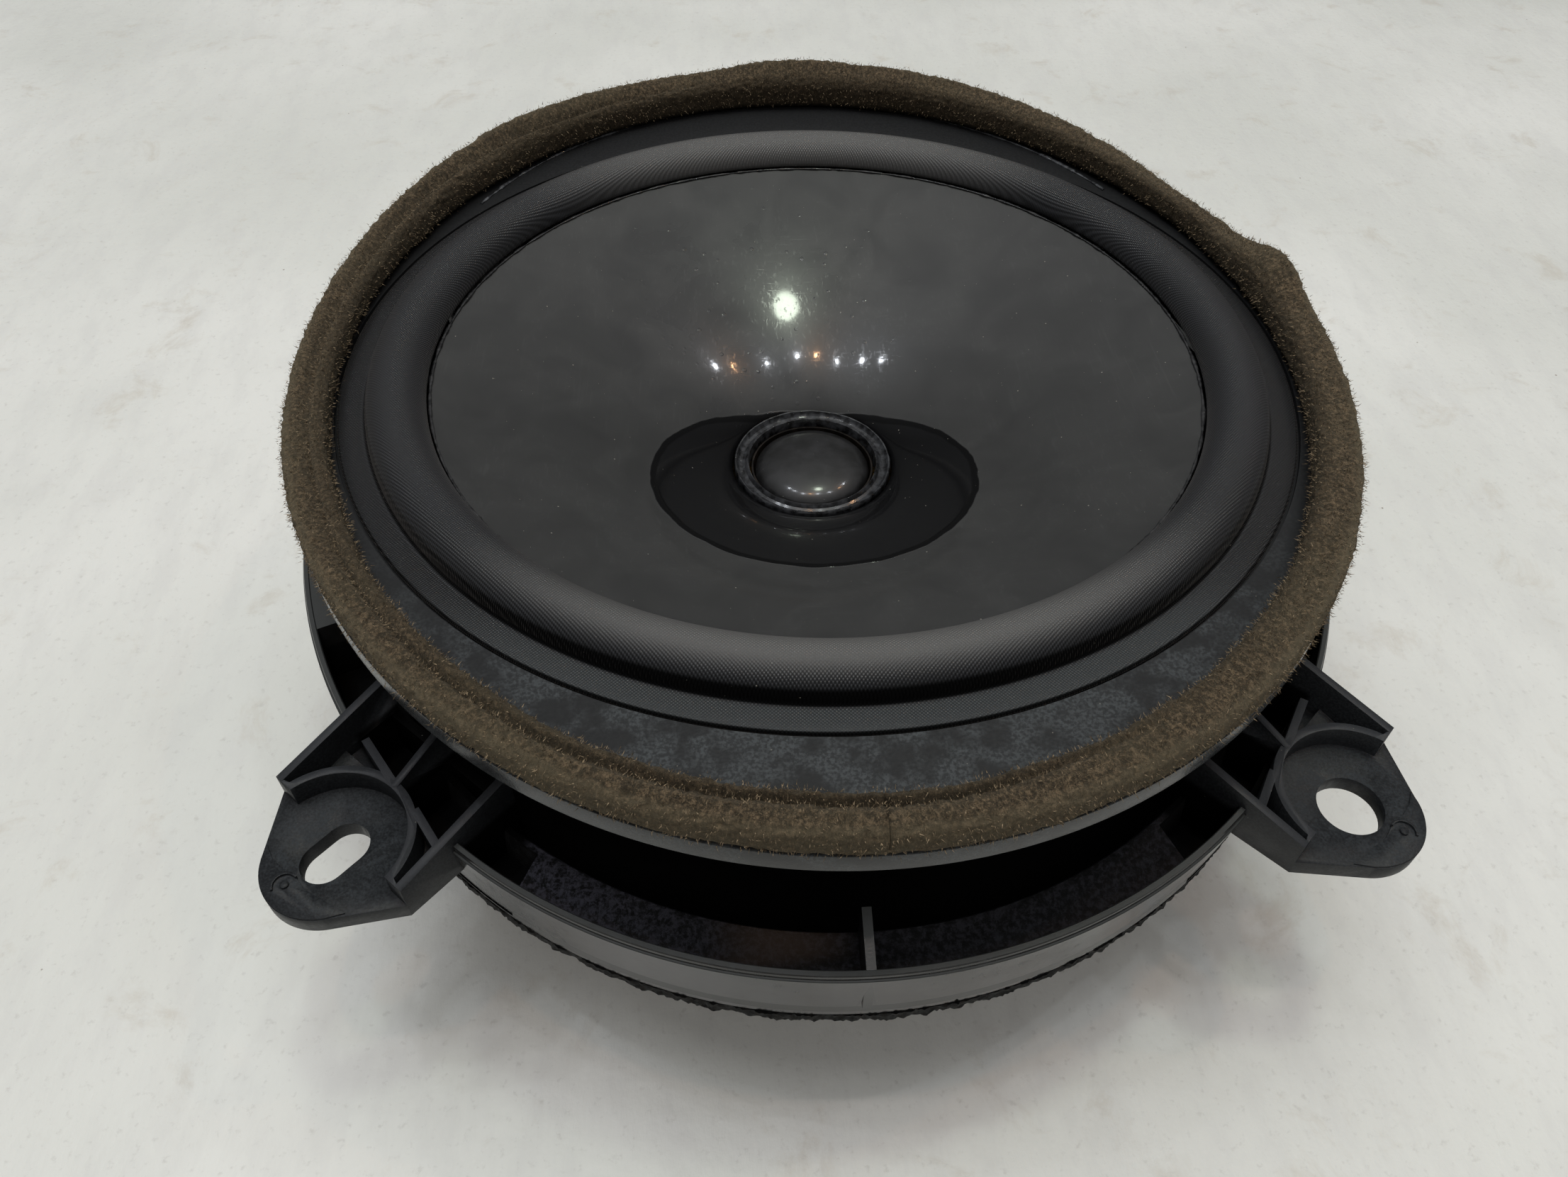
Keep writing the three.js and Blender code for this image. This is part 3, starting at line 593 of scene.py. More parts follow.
def surround_cloth():
    """Black woven cloth with a soft sheen on its raised threads, painted shade in the groove outside the roll
    and on the flange at the sides, a dark line at the cloth's outer edge, and painted light on the roll's
    crest and the flange in front and behind.
    """
    s = Surface("surround_cloth", Sheen_Weight=0.07, Sheen_Roughness=0.35, Sheen_Tint=(1.0, 0.96, 0.93))
    threads = weave(s, 0.24, 3)
    clouds = s.noise(8, 4)
    x, y, z = s.axes()
    radius = s.distance(x, y)
    # painted shade in the groove outside the roll; it and a dark line at the cloth's outer edge are turned
    # near black, with little gloss
    groove = s.step(s.size(s.minus(radius, ROLL_OUTER - 0.1)), 0.7, 0.25)
    edge = s.step(radius, CLOTH_EDGE - 0.4, CLOTH_EDGE - 0.15)
    flat = s.step(radius, ROLL_OUTER + 0.5, ROLL_OUTER + 0.9)
    tone = s.mix(threads, (0.0025, 0.0025, 0.003), (0.027, 0.0285, 0.032))
    tone = s.mix(s.step(clouds, 0.4, 0.7, 0, 0.4), tone, (0.014, 0.0145, 0.015))
    # painted highlight along the crest of the roll in front and behind
    fore_and_aft = s.step(s.size(y), 40, 66)
    crest = s.step(s.size(s.minus(radius, ROLL_OUTER - 6.5)), 6.0, 2.0)
    tone = s.mix(s.times(fore_and_aft, crest, 0.75), tone, (0.105, 0.104, 0.101))
    # the flange: painted light in front and behind, painted shade at the sides
    tone = s.tint(tone, flat, (0.045, 0.052, 0.053), s.step(fore_and_aft, 0, 1, 0.0, 0.3))
    tone = s.tint(tone, flat, (0.003, 0.003, 0.0035), s.step(fore_and_aft, 0, 1, 0.7, 0.0))
    dark = s.larger(groove, edge)
    tone = s.tint(tone, dark, (0.001, 0.001, 0.001), 0.92)
    dust = s.larger(s.specks(2.6, 0.13, 0.4), s.specks(0.9, 0.06, 0.3))
    tone = s.tint(tone, dust, (0.2, 0.19, 0.16), 0.6)
    rough = s.plus(s.step(threads, 0, 1, 0.5, 0.3), s.times(dark, 0.4))
    return s.finish(tone, rough, s.bump(threads, 0.08),
                    Specular_IOR_Level=s.step(dark, 0, 1, 0.6, 0.05))


def olive_foam():
    """Olive-brown open-cell foam: short fibres and dark pores, painted shade towards its inner edge and in
    its crease, and lighter towards its outer side.
    """
    s = Surface("olive_foam", Specular_IOR_Level=0.1, Sheen_Weight=0.12, Sheen_Roughness=0.6,
                Sheen_Tint=(1.0, 0.9, 0.7))
    strip = s.node("Attribute", output="Vector", attribute_name="strip")
    across = s.axes(strip)[1]
    lengthways = s.node("VectorMath", {0: strip, 1: (1.0, 0.6, 0.6)}, operation="MULTIPLY")
    streaks = s.noise(0.55, 5, lengthways, roughness=0.8)
    pores = s.noise(0.5, 5, roughness=0.85)
    patches = s.noise(16, 4)
    tone = s.mix(s.step(streaks, 0.38, 0.66), (0.02, 0.0145, 0.0085), (0.165, 0.118, 0.071))
    tone = s.mix(s.step(pores, 0.53, 0.44, 0, 0.85), tone, (0.012, 0.0085, 0.005))
    tone = s.mix(s.step(patches, 0.35, 0.7, 0, 0.3), tone, (0.07, 0.06, 0.036))
    # painted shade towards the strip's inner edge
    tone = s.mix(s.step(across, 2.2, 0.3, 0, 0.6), tone, (0.017, 0.012, 0.007))
    crease = s.node("Attribute", output="Fac", attribute_name="crease")
    # painted shade in the crease
    tone = s.tint(tone, crease, (0.01, 0.007, 0.004), 0.8)
    tone = s.mix(s.step(across, 4.2, 5.6, 0, 0.45), tone, (0.12, 0.1, 0.064))
    return s.finish(tone, 1.0, s.bump(streaks, 0.3, s.bump(pores, 0.3)))


def foam_fibre():
    """Fibres of the foam strip, lighter and darker from place to place."""
    s = Surface("foam_fibre", Specular_IOR_Level=0.1)
    tone = s.mix(s.step(s.noise(0.5, 3), 0.35, 0.65), (0.06, 0.045, 0.028), (0.24, 0.185, 0.12))
    return s.finish(tone, 1.0)


def black_foam():
    """Crumbly black foam."""
    s = Surface("black_foam", Specular_IOR_Level=0.35)
    cells = s.noise(0.7, 4, roughness=0.7)
    tone = s.mix(s.step(cells, 0.45, 0.7), grey(0.003), (0.02, 0.018, 0.016))
    return s.finish(tone, s.step(cells, 0.3, 0.7, 0.55, 0.95), s.bump(cells, 0.4))


def clear_glue(name, dark=(0.01, 0.0105, 0.012), light=(0.085, 0.09, 0.098)):
    """Grey glue, glossy and cloudy inside, with trapped dust."""
    s = Surface(name, Coat_Weight=0.6, Coat_Roughness=0.12)
    clouds = s.noise(1.3, 4, roughness=0.6)
    bits = s.specks(0.9, 0.09, 0.35)
    tone = s.mix(s.step(clouds, 0.35, 0.7), dark, light)
    tone = s.tint(tone, bits, (0.3, 0.29, 0.27), 0.6)
    return s.finish(tone, s.step(clouds, 0.3, 0.7, 0.25, 0.5), s.bump(clouds, 0.08, s.bump(bits, 0.05)))


def cap_skin():
    """Satin black dust cap with a soft haze of dust."""
    s = Surface("cap_skin", Coat_Weight=0.7, Coat_Roughness=0.14)
    haze = s.noise(3, 5, roughness=0.6)
    dust = s.specks(1.1, 0.07, 0.3)
    tone = s.mix(s.step(haze, 0.35, 0.7), grey(0.005), (0.012, 0.012, 0.013))
    tone = s.tint(tone, dust, (0.25, 0.25, 0.23), 0.6)
    return s.finish(tone, s.step(haze, 0.3, 0.7, 0.36, 0.46), s.bump(s.noise(0.4, 2), 0.01))


def zinc_steel():
    """Zinc-plated steel with faint turning marks, stains and light scratches."""
    s = Surface("zinc_steel", Metallic=1.0)
    x, y, z = s.axes()
    radius = s.distance(x, y)
    rings = s.math("SINE", s.times(radius, 9.0))
    stains = s.noise(12, 5, roughness=0.6)
    scratches = s.step(s.noise(0.6, 3, s.stretched(1, 0.05, 1, 20)), 0.62, 0.75)
    tone = s.mix(s.step(stains, 0.35, 0.7), (0.52, 0.52, 0.5), (0.36, 0.35, 0.33))
    tone = s.mix(s.step(s.noise(1.5, 5, roughness=0.75), 0.68, 0.8, 0, 0.4), tone, (0.2, 0.12, 0.07))
    rough = s.plus(s.step(stains, 0.3, 0.7, 0.28, 0.45), s.times(scratches, 0.15))
    relief = s.bump(rings, 0.004, s.bump(scratches, -0.01))
    return s.finish(tone, rough, relief)


def dark_ferrite():
    """Ground ferrite: dark grey, slightly granular, with small pale chips."""
    s = Surface("dark_ferrite", Specular_IOR_Level=0.5)
    grains = s.noise(0.5, 4, roughness=0.7)
    marks = s.noise(1.5, 3, s.stretched(0.3, 0.3, 4))
    chips = s.step(s.noise(2.4, 5, roughness=0.7), 0.68, 0.72)
    tone = s.mix(s.step(grains, 0.35, 0.7), (0.022, 0.022, 0.024), (0.05, 0.05, 0.053))
    tone = s.tint(tone, chips, (0.11, 0.11, 0.115), 0.6)
    return s.finish(tone, s.step(marks, 0.3, 0.7, 0.42, 0.6), s.bump(grains, 0.03, s.bump(marks, 0.03)))


WIRE_PITCH = 0.28


def wound_copper():
    """Fine enamelled copper wire, wound in close turns round Z, with painted shade between the turns and a
    painted highlight on each.
    """
    s = Surface("wound_copper", Metallic=1.0)
    x, y, z = s.axes()
    turns = s.math("SINE", s.times(z, 2 * math.pi / WIRE_PITCH))
    # painted shade between the turns and painted highlight on them
    tone = s.mix(s.step(turns, -1, 1), (0.16, 0.055, 0.025), (0.6, 0.27, 0.13))
    return s.finish(tone, s.step(s.noise(2), 0.3, 0.7, 0.25, 0.4), s.bump(turns, 0.06))


def tinned_copper():
    """Copper strands and tags, dull in places and bright with solder in others."""
    s = Surface("tinned_copper", Metallic=1.0)
    dull = s.noise(1.6, 4, roughness=0.6)
    tone = s.mix(s.step(dull, 0.35, 0.7), (0.5, 0.26, 0.14), (0.3, 0.15, 0.085))
    return s.finish(tone, s.step(dull, 0.3, 0.7, 0.3, 0.5), s.bump(s.noise(0.2, 3), 0.02))


def spider_cloth():
    """Yellow-brown cloth stiffened with resin."""
    s = Surface("spider_cloth", Specular_IOR_Level=0.4, Sheen_Weight=0.1)
    threads = weave(s, 0.5, 45)
    patches = s.noise(6, 4)
    tone = s.mix(threads, (0.14, 0.075, 0.02), (0.5, 0.33, 0.11))
    tone = s.mix(s.step(patches, 0.4, 0.7, 0, 0.5), tone, (0.3, 0.17, 0.05))
    return s.finish(tone, s.step(patches, 0.3, 0.7, 0.6, 0.8), s.bump(threads, 0.12))


def painted_shade_film():
    """Heat-proof film of the coil former, painted near black as shade in the gap round the neck, with a faint
    layered sheen.
    """
    s = Surface("painted_shade_film", Specular_IOR_Level=0.3)
    layers = s.noise(2, 4, s.stretched(1, 1, 0.2))
    # painted shade: near black, as the gap round the neck
    tone = s.mix(s.step(layers, 0.35, 0.7), (0.003, 0.0025, 0.002), (0.012, 0.009, 0.007))
    return s.finish(tone, s.step(layers, 0.3, 0.7, 0.3, 0.45), s.bump(layers, 0.02))


def pale_floor():
    """Worn off-white painted floor with small stains, brush marks and specks."""
    s = Surface("pale_floor", Specular_IOR_Level=0.5)
    clouds = s.noise(130, 4)
    stains = s.noise(18, 6, roughness=0.7, distortion=0.5)
    brushed = s.noise(7, 5, s.stretched(1, 0.35, 1, -20), roughness=0.65)
    grain = s.noise(1.6, 5, roughness=0.65)
    tone = s.mix(s.step(clouds, 0.3, 0.7), (0.55, 0.56, 0.53), (0.63, 0.635, 0.61))
    tone = s.mix(s.step(brushed, 0.42, 0.68, 0, 0.3), tone, (0.5, 0.5, 0.49))
    tone = s.mix(s.step(stains, 0.55, 0.72, 0, 0.4), tone, (0.42, 0.38, 0.32))
    tone = s.mix(s.step(grain, 0.56, 0.72, 0, 0.35), tone, (0.36, 0.35, 0.33))
    specks = s.larger(s.specks(34, 0.9, 0.25), s.specks(9, 0.3, 0.3))
    tone = s.tint(tone, specks, (0.16, 0.12, 0.09), 0.8)
    relief = s.bump(brushed, 0.25, s.bump(s.noise(2.5, 5), 0.15))
    return s.finish(tone, s.step(clouds, 0.3, 0.7, 0.38, 0.5), relief)


# -------- camera, light and floor

CAMERA_AZIMUTH = -5.5
CAMERA_ELEVATION = 41.34
CAMERA_DISTANCE = 204.08
CAMERA_AIM = Vector((-6.6, -29.3, 40.0))
CAMERA_ROLL = 0.63
CAMERA_LENS = 26.67

FLOOR_REACH = 2500
CEILING = 1.9  # level of the lamps, in metres
# a row of small lamps across the ceiling: x and y in metres, and whether it is warm
SMALL_LAMPS = [(1.09, 0.53, False), (0.97, 0.28, True), (0.62, -0.06, False), (0.21, -0.14, False),
               (-0.02, -0.14, True), (-0.28, -0.13, False), (-0.54, 0.07, False), (-0.68, 0.27, False)]


def add_camera():
    data = bpy.data.cameras.new("camera")
    data.lens = CAMERA_LENS
    data.clip_start = 0.01
    data.clip_end = 20
    camera = bpy.data.objects.new("camera", data)
    turn, lift = math.radians(CAMERA_AZIMUTH), math.radians(CAMERA_ELEVATION)
    outward = Vector((math.sin(turn) * math.cos(lift), -math.cos(turn) * math.cos(lift), math.sin(lift)))
    place = Vector((0, 0, NECK_LEVEL)) + outward * CAMERA_DISTANCE
    look = (CAMERA_AIM - place).to_track_quat("-Z", "Y")
    camera.location = place * MM
    camera.rotation_mode = "QUATERNION"
    camera.rotation_quaternion = look @ Quaternion((0, 0, 1), math.radians(CAMERA_ROLL))
    bpy.context.collection.objects.link(camera)
    bpy.context.scene.camera = camera


def add_light(name, place, power, size, colour=(1, 1, 1), mirrored=True):
    """A round lamp at a place in metres that faces the speaker; some lamps show in glossy surfaces."""
    data = bpy.data.lights.new(name, "AREA")
    data.energy = power
    data.color = colour
    data.shape = "DISK"
    data.size = size
    lamp = bpy.data.objects.new(name, data)
    lamp.location = place
    lamp.rotation_mode = "QUATERNION"
    lamp.rotation_quaternion = (Vector((0, 0, 0.05)) - Vector(place)).to_track_quat("-Z", "Y")
    lamp.visible_glossy = mirrored
    bpy.context.collection.objects.link(lamp)


def add_world():
    """A room that is bright overhead and dim at eye level."""
    world = bpy.data.worlds.new("room")
    world.use_nodes = True
    nodes, links = world.node_tree.nodes, world.node_tree.links
    coordinates = nodes.new("ShaderNodeTexCoord")
    height = nodes.new("ShaderNodeSeparateXYZ")
    ramp = nodes.new("ShaderNodeMapRange")
    ramp.inputs["From Min"].default_value = 0.4
    ramp.inputs["From Max"].default_value = 0.9
    ramp.inputs["To Min"].default_value = 0.08
    ramp.inputs["To Max"].default_value = 0.38
    links.new(coordinates.outputs["Generated"], height.inputs[0])
    links.new(height.outputs["Z"], ramp.inputs["Value"])
    links.new(ramp.outputs[0], nodes["Background"].inputs["Strength"])
    nodes["Background"].inputs["Color"].default_value = (0.97, 0.985, 1.0, 1)
    bpy.context.scene.world = world
    bpy.context.scene.view_settings.view_transform = "Standard"


def add_stage():
    corners = [(x, y, 0) for x, y in box_section(-FLOOR_REACH, FLOOR_REACH, -FLOOR_REACH, FLOOR_REACH)]
    floor = build("floor", corners, [(0, 1, 2, 3)])
    floor.location.z = -0.2 * MM
    floor.data.materials.append(pale_floor())
    add_world()
    add_light("ceiling", (-0.2, 0.3, CEILING - 0.2), 21, 1.6, mirrored=False)
    add_light("round_lamp", (0.22, 0.23, CEILING), 3.0, 0.165, (0.88, 1.0, 0.82))
    for number, (x, y, warm) in enumerate(SMALL_LAMPS):
        colour = (1.0, 0.55, 0.27) if warm else (0.88, 0.93, 1.0)
        add_light(f"small_lamp_{number + 1}", (x, y, CEILING), 1.1, 0.045, colour)
    add_light("window", (0.15, -1.1, 1.3), 5, 0.7, (1.0, 0.93, 0.88), mirrored=False)


# -------- motor

YOKE_HEIGHT = 4.5
POLE_RADIUS = 9.6
POLE_TOP = 20.0
MAGNET_INNER = 22.0
TOP_PLATE_INNER = 12.6
RIVET_DOME = 1.2


def make_motor(steel):
    low, high = span("back_yoke")
    yoke = turned("back_yoke_turned", rounded([
        (0, 0, 0), (high.x, 0, 0.9), (high.x, YOKE_HEIGHT, 0.3), (POLE_RADIUS, YOKE_HEIGHT, 0.2),
        (POLE_RADIUS, POLE_TOP, 0.5), (0, POLE_TOP, 0)]))
    finished(yoke, steel, FRAME_BODY, "steel", "back_yoke")
    rings = [("magnet_ring", "magnet_ring_ground", MAGNET_INNER, 0.5, dark_ferrite(), "ferrite"),
             ("top_plate", "top_plate_turned", TOP_PLATE_INNER, 0.35, steel, "steel")]
    for node, name, inner, edge, surface, slot in rings:
        low, high = span(node)
        ring = turned(name, rounded(box_section(inner, high.x, low.z, high.z), edge))
        finished(ring, surface, FRAME_BODY, slot, node)
    for number in range(1, 5):
        low, high = span(f"motor_rivet_{number}")
        centre, radius = (low + high) / 2, (high.x - low.x) / 2
        shank, head = radius * 0.54, high.z - RIVET_DOME
        outline = [(0, low.z), (shank, low.z), (shank, head), (radius, head)]
        for angle in np.linspace(0.15, 1.4, 7):
            outline.append((radius * math.cos(angle), head + RIVET_DOME * math.sin(angle)))
        outline.append((0, high.z))
        rivet = turned(f"rivet_{number}", outline, circle(40))
        rivet.data.transform(Matrix.Translation((centre.x * MM, centre.y * MM, 0)))
        finished(rivet, steel, FRAME_BODY, "steel", f"motor_rivet_{number}")


# -------- basket

SEAT_RADIUS = 74.4  # recess for the surround's cloth edge
CLOTH_SEAT = 62.5
RIM_INNER = 66.4
RIM_UNDERSIDE = 79.4  # radius where the rim's underside starts to rise to its side
CAGE_INNER = 24.0
CAGE_OUTER = 68.4
CAGE_FOOT = 20.3  # the cage's underside, on the motor's top plate
CAGE_FLOOR = 22.5
CAGE_STEP = 41.0  # radius of the step up to the spider's seat
SPIDER_SEAT = 28.7
WINDOW_INNER = 44.0
WINDOW_OUTER = 90.0  # beyond the cage
WINDOW_LOW = 23.5
WINDOW_HIGH = 56.5
WINDOW_HALF_TURN = 22


def rim_oval(radius):
    """The rim is round inside the cloth seat and oval outside it."""
    return OVAL if radius > SEAT_RADIUS + 0.1 else 0.0


def make_rim():
    outline = [
        (RIM_INNER, RIM_BOTTOM, 0), (RIM_UNDERSIDE, RIM_BOTTOM, 0.3),
        (RIM_RADIUS - 0.25, RIM_BOTTOM + 0.9, 0.3), (RIM_RADIUS, RIM_BOTTOM + 1.1, 0.1),
        (RIM_RADIUS, LIP_TOP, 0.3),
        (RIM_RADIUS - LIP_WIDTH, LIP_TOP, 0.2), (RIM_RADIUS - LIP_WIDTH, RIM_TOP, 0),
        (SEAT_RADIUS + 0.3, RIM_TOP, 0), (SEAT_RADIUS, RIM_TOP - 0.1, 0), (SEAT_RADIUS, CLOTH_SEAT, 0),
        (RIM_INNER, CLOTH_SEAT, 0)]
    rim = turned("rim_moulding", rounded(outline), circle(432), rim_oval)
    return finished(rim, rim_plastic(), FRAME_BODY, "plastic", "basket_rim")


def make_cage(plastic):
    outline = rounded([
        (CAGE_INNER, CAGE_FOOT, 0.3), (CAGE_STEP, CAGE_FOOT, 0.8), (CAGE_STEP + 2.4, SPIDER_SEAT, 1),
        (58, 38, 2), (CAGE_OUTER, 46, 2), (CAGE_OUTER, CAGE_TOP, 0), (RIM_INNER, CAGE_TOP, 0),
        (RIM_INNER, 46.8, 2), (56.4, 39.6, 2), (CAGE_STEP, SPIDER_SEAT, 0.3),
        (CAGE_STEP - 9, SPIDER_SEAT, 0.3), (CAGE_STEP - 9, CAGE_FLOOR, 0.5), (CAGE_INNER, CAGE_FLOOR, 0.3)])
    cage = turned("cage_moulding", outline, circle(240))
    windows = []
    for middle in range(30, 360, 60):
        windows.append(sector("window", WINDOW_INNER, WINDOW_OUTER, middle - WINDOW_HALF_TURN,
                              middle + WINDOW_HALF_TURN, WINDOW_LOW, WINDOW_HIGH))
    softened(combined(cage, windows, "DIFFERENCE"), 0.35)
    return finished(cage, plastic, FRAME_BODY, "plastic", "basket_cage")


def ear_matrix(azimuth, mirror=1):
    """From an ear's own frame (X outwards, Y towards the sides of the speaker) to the speaker's frame."""
    return Matrix.Rotation(math.radians(azimuth - 90), 4, "Z") @ Matrix.Diagonal((1, mirror, 1, 1))


RING_INNER = 44.6
RING_UNDERSIDE = 27.8
RING_FOOT = 29.5  # underside of the outer wall
WELL_WALL_INNER = 75.5
WELL_WALL_OUTER = 77.1
SHELF_UNDERSIDE = 36.0
TIE_RIB = 1.2
NOTCH_INNER = 80.4
NOTCH_OUTER = 99.0  # beyond the ring
NOTCH_TOP = 60.0  # above the ring


def quadrant(azimuth):
    """Degrees from the nearer end of the long axis."""
    return 90 - abs(90 - azimuth % 180)


def ring_level(radius, azimuth, level):
    """The shelf from the well to the wall: a slope in front, deep pockets at the ears, webs at the sides."""
    place = quadrant(azimuth)
    on_shelf = WELL_WALL_OUTER - 0.2 < radius < RING_RADIUS - RING_WALL + 0.1
    if not (on_shelf and 33 < level < 38.5) or place <= SHELF_HALF_ANGLE:
        return radius, level
    under = radius < WELL_WALL_OUTER + 0.1 and level < SHELF_UNDERSIDE + 0.2
    on_top = level > SHELF_EDGE - 0.1 and not under
    if place < 90 - WEB_HALF_ANGLE:
        return radius, (POCKET_FLOOR if on_top else POCKET_FLOOR - 1.2)
    return (radius, RING_TOP - 0.02) if on_top else (radius, level)


def ring_azimuths():
    """Even steps, with a narrow pair of steps where the shelf changes level."""
    azimuths = set(circle(288))
    for middle in (0, 180):
        for side in (-1, 1):
            for edge in (SHELF_HALF_ANGLE, 90 - WEB_HALF_ANGLE):
                azimuths |= {(middle + side * (edge - 0.03)) % 360, (middle + side * (edge + 0.15)) % 360}
    return sorted(azimuths)


def tie_rib(azimuth):
    """An upright rib between the shelf and the ring's wall at an end of the long axis."""
    half, inner, outer = TIE_RIB / 2, 76.2 + OVAL, RING_RADIUS - 0.6 + OVAL
    sign = -1 if azimuth == 0 else 1
    outline = box_section(-half, half, sign * inner, sign * outer)
    slope = 2.4 / (outer - inner)
    return prism("tie_rib", outline, 33.5, lambda x, y: RING_TOP - 0.2 + slope * (outer - abs(y)))


def ring_section():
    """The ring's section: plate, well wall, shelf, and the outer wall that leans in at its foot."""
    wall_inner = RING_RADIUS - RING_WALL
    inside = [
        (RING_INNER, RING_UNDERSIDE), (WELL_WALL_OUTER - 1, RING_UNDERSIDE),
        (WELL_WALL_OUTER, RING_UNDERSIDE + 1), (WELL_WALL_OUTER, SHELF_UNDERSIDE), (wall_inner, 33.4),
        (wall_inner, 31.5), (79.5, 31.5)]
    outside = [
        (79.5, RING_FOOT), (RING_RADIUS - 1.75, RING_FOOT), (RING_RADIUS - 1.55, RING_FOOT + 0.25),
        (RING_RADIUS, RING_TOP - 1.1), (RING_RADIUS - 0.1, RING_TOP - 1),
        (RING_RADIUS - 0.25, RING_TOP - 0.95), (RING_RADIUS - 0.28, RING_TOP - 0.2),
        (RING_RADIUS - 0.4, RING_TOP)]
    top = [
        (wall_inner + 0.15, RING_TOP), (wall_inner, RING_TOP - 0.15), (wall_inner, SHELF_EDGE),
        (WELL_WALL_OUTER, SHELF_LEVEL - 0.25), (WELL_WALL_INNER + 1, SHELF_LEVEL),
        (WELL_WALL_INNER + 0.2, SHELF_LEVEL), (WELL_WALL_INNER, SHELF_LEVEL - 0.2),
        (WELL_WALL_INNER, WELL_FLOOR + 1), (WELL_WALL_INNER - 1, WELL_FLOOR), (RING_INNER, WELL_FLOOR)]
    return inside + outside + top


def ring_oval(radius):
    """The ring is round at its inner edge and oval elsewhere."""
    return OVAL if radius > RING_INNER + 5 else 0.0


def make_mounting_ring(plastic):
    ring = turned("mounting_ring_moulding", ring_section(), ring_azimuths(), ring_oval, ring_level)
    combined(ring, [tie_rib(0), tie_rib(180)], "UNION")
    notches = []
    for azimuth in EAR_AZIMUTHS.values():
        half = EAR_HALF_WIDTH + 0.1
        notch = block("notch", (NOTCH_INNER, -half, PAD_BOTTOM - 0.1), (NOTCH_OUTER, half, NOTCH_TOP))
        notch.data.transform(ear_matrix(azimuth))
        notches.append(notch)
    combined(ring, notches, "DIFFERENCE")
    shade(ring.data, 28)
    return finished(ring, plastic, FRAME_BODY, "plastic", "mounting_ring")


# -------- mounting ears

EAR_END = 98.0
CUP_RADIUS = 10.0
CUP_WALL = 1.15
EAR_BOTTOM = 33.0  # inside the ring; outside it the ear ends at the pad's underside
EAR_RIB = 1.1
CUP_APEX = HOLE_RADIAL - CUP_RADIUS - CUP_WALL / 2
CUP_TURN = (100, 260)  # directions of the cup's two ends
TIP_RADIUS = 8.7
TIP_OFFSET = 1.0  # the tip's centre lies outside the hole's
TIP_HALF_TURN = 52
HOLE_RADIUS = 4.45
SLOT_LENGTH = 9.6
SLOT_WIDTH = 6.2


def wall_top(x, y):
    return RING_TOP + 0.21 * max(EAR_END - x, 0)


def upright_strip(name, start, end, thickness, bottom, top):
    """An upright wall along a line from start to end."""
    along = Vector(end) - Vector(start)
    across = Vector((-along.y, along.x)).normalized() * thickness / 2
    corners = [Vector(start) - across, Vector(end) - across, Vector(end) + across, Vector(start) + across]
    return prism(name, [tuple(corner) for corner in corners], bottom, top)


def tip_arc(radius):
    return arc(radius, -TIP_HALF_TURN, TIP_HALF_TURN, 28, (HOLE_RADIAL + TIP_OFFSET, 0))


def pad_outline():
    inner = arc(CUP_RADIUS + CUP_WALL / 2, *CUP_TURN, 30, (HOLE_RADIAL, 0))
    return [(EAR_END, -EAR_HALF_WIDTH)] + tip_arc(TIP_RADIUS) + [(EAR_END, EAR_HALF_WIDTH)] + inner


def cup_outline():
    outer = arc(CUP_RADIUS + CUP_WALL, *CUP_TURN, 36, (HOLE_RADIAL, 0))
    inner = arc(CUP_RADIUS, CUP_TURN[1] - 1, CUP_TURN[0] + 1, 36, (HOLE_RADIAL, 0))
    return (outer + [(EAR_END, -EAR_HALF_WIDTH), (EAR_END, -CUP_RADIUS + 0.1)]
            + inner + [(EAR_END, CUP_RADIUS - 0.1), (EAR_END, EAR_HALF_WIDTH)])


def ear_hole(slotted):
    if not slotted:
        return arc(HOLE_RADIUS, 0, 360 - 7.5, 47, (HOLE_RADIAL, 0))
    half, end = (SLOT_LENGTH - SLOT_WIDTH) / 2, SLOT_WIDTH / 2
    return (arc(end, -90, 90, 20, (HOLE_RADIAL + half, 0)) + arc(end, 90, 270, 20, (HOLE_RADIAL - half, 0)))


def tip_plate():
    """The smooth, slightly raised end of the pad, edged by a thin curve."""
    inner = [(104.2, 7.7), (104.9, 5.6), (105.0, 3.4), (104.6, 1.2), (104.9, -1.6), (104.6, -3.0),
             (103.6, -8.1)]
    return prism("tip", tip_arc(TIP_RADIUS - 0.12) + inner, PAD_TOP - 0.4, PAD_TOP + 0.26)


def injection_mark():
    """A small raised dot with part of a ring round it, near the tip."""
    centre = (106.2, 0.9)
    dot = prism("dot", arc(0.55, 0, 345, 23, centre), PAD_TOP - 0.2, PAD_TOP + 0.6)
    curve = arc(1.75, 20, 190, 18, centre) + arc(1.45, 190, 20, 18, centre)
    return [dot, prism("curve", curve, PAD_TOP - 0.2, PAD_TOP + 0.62)]


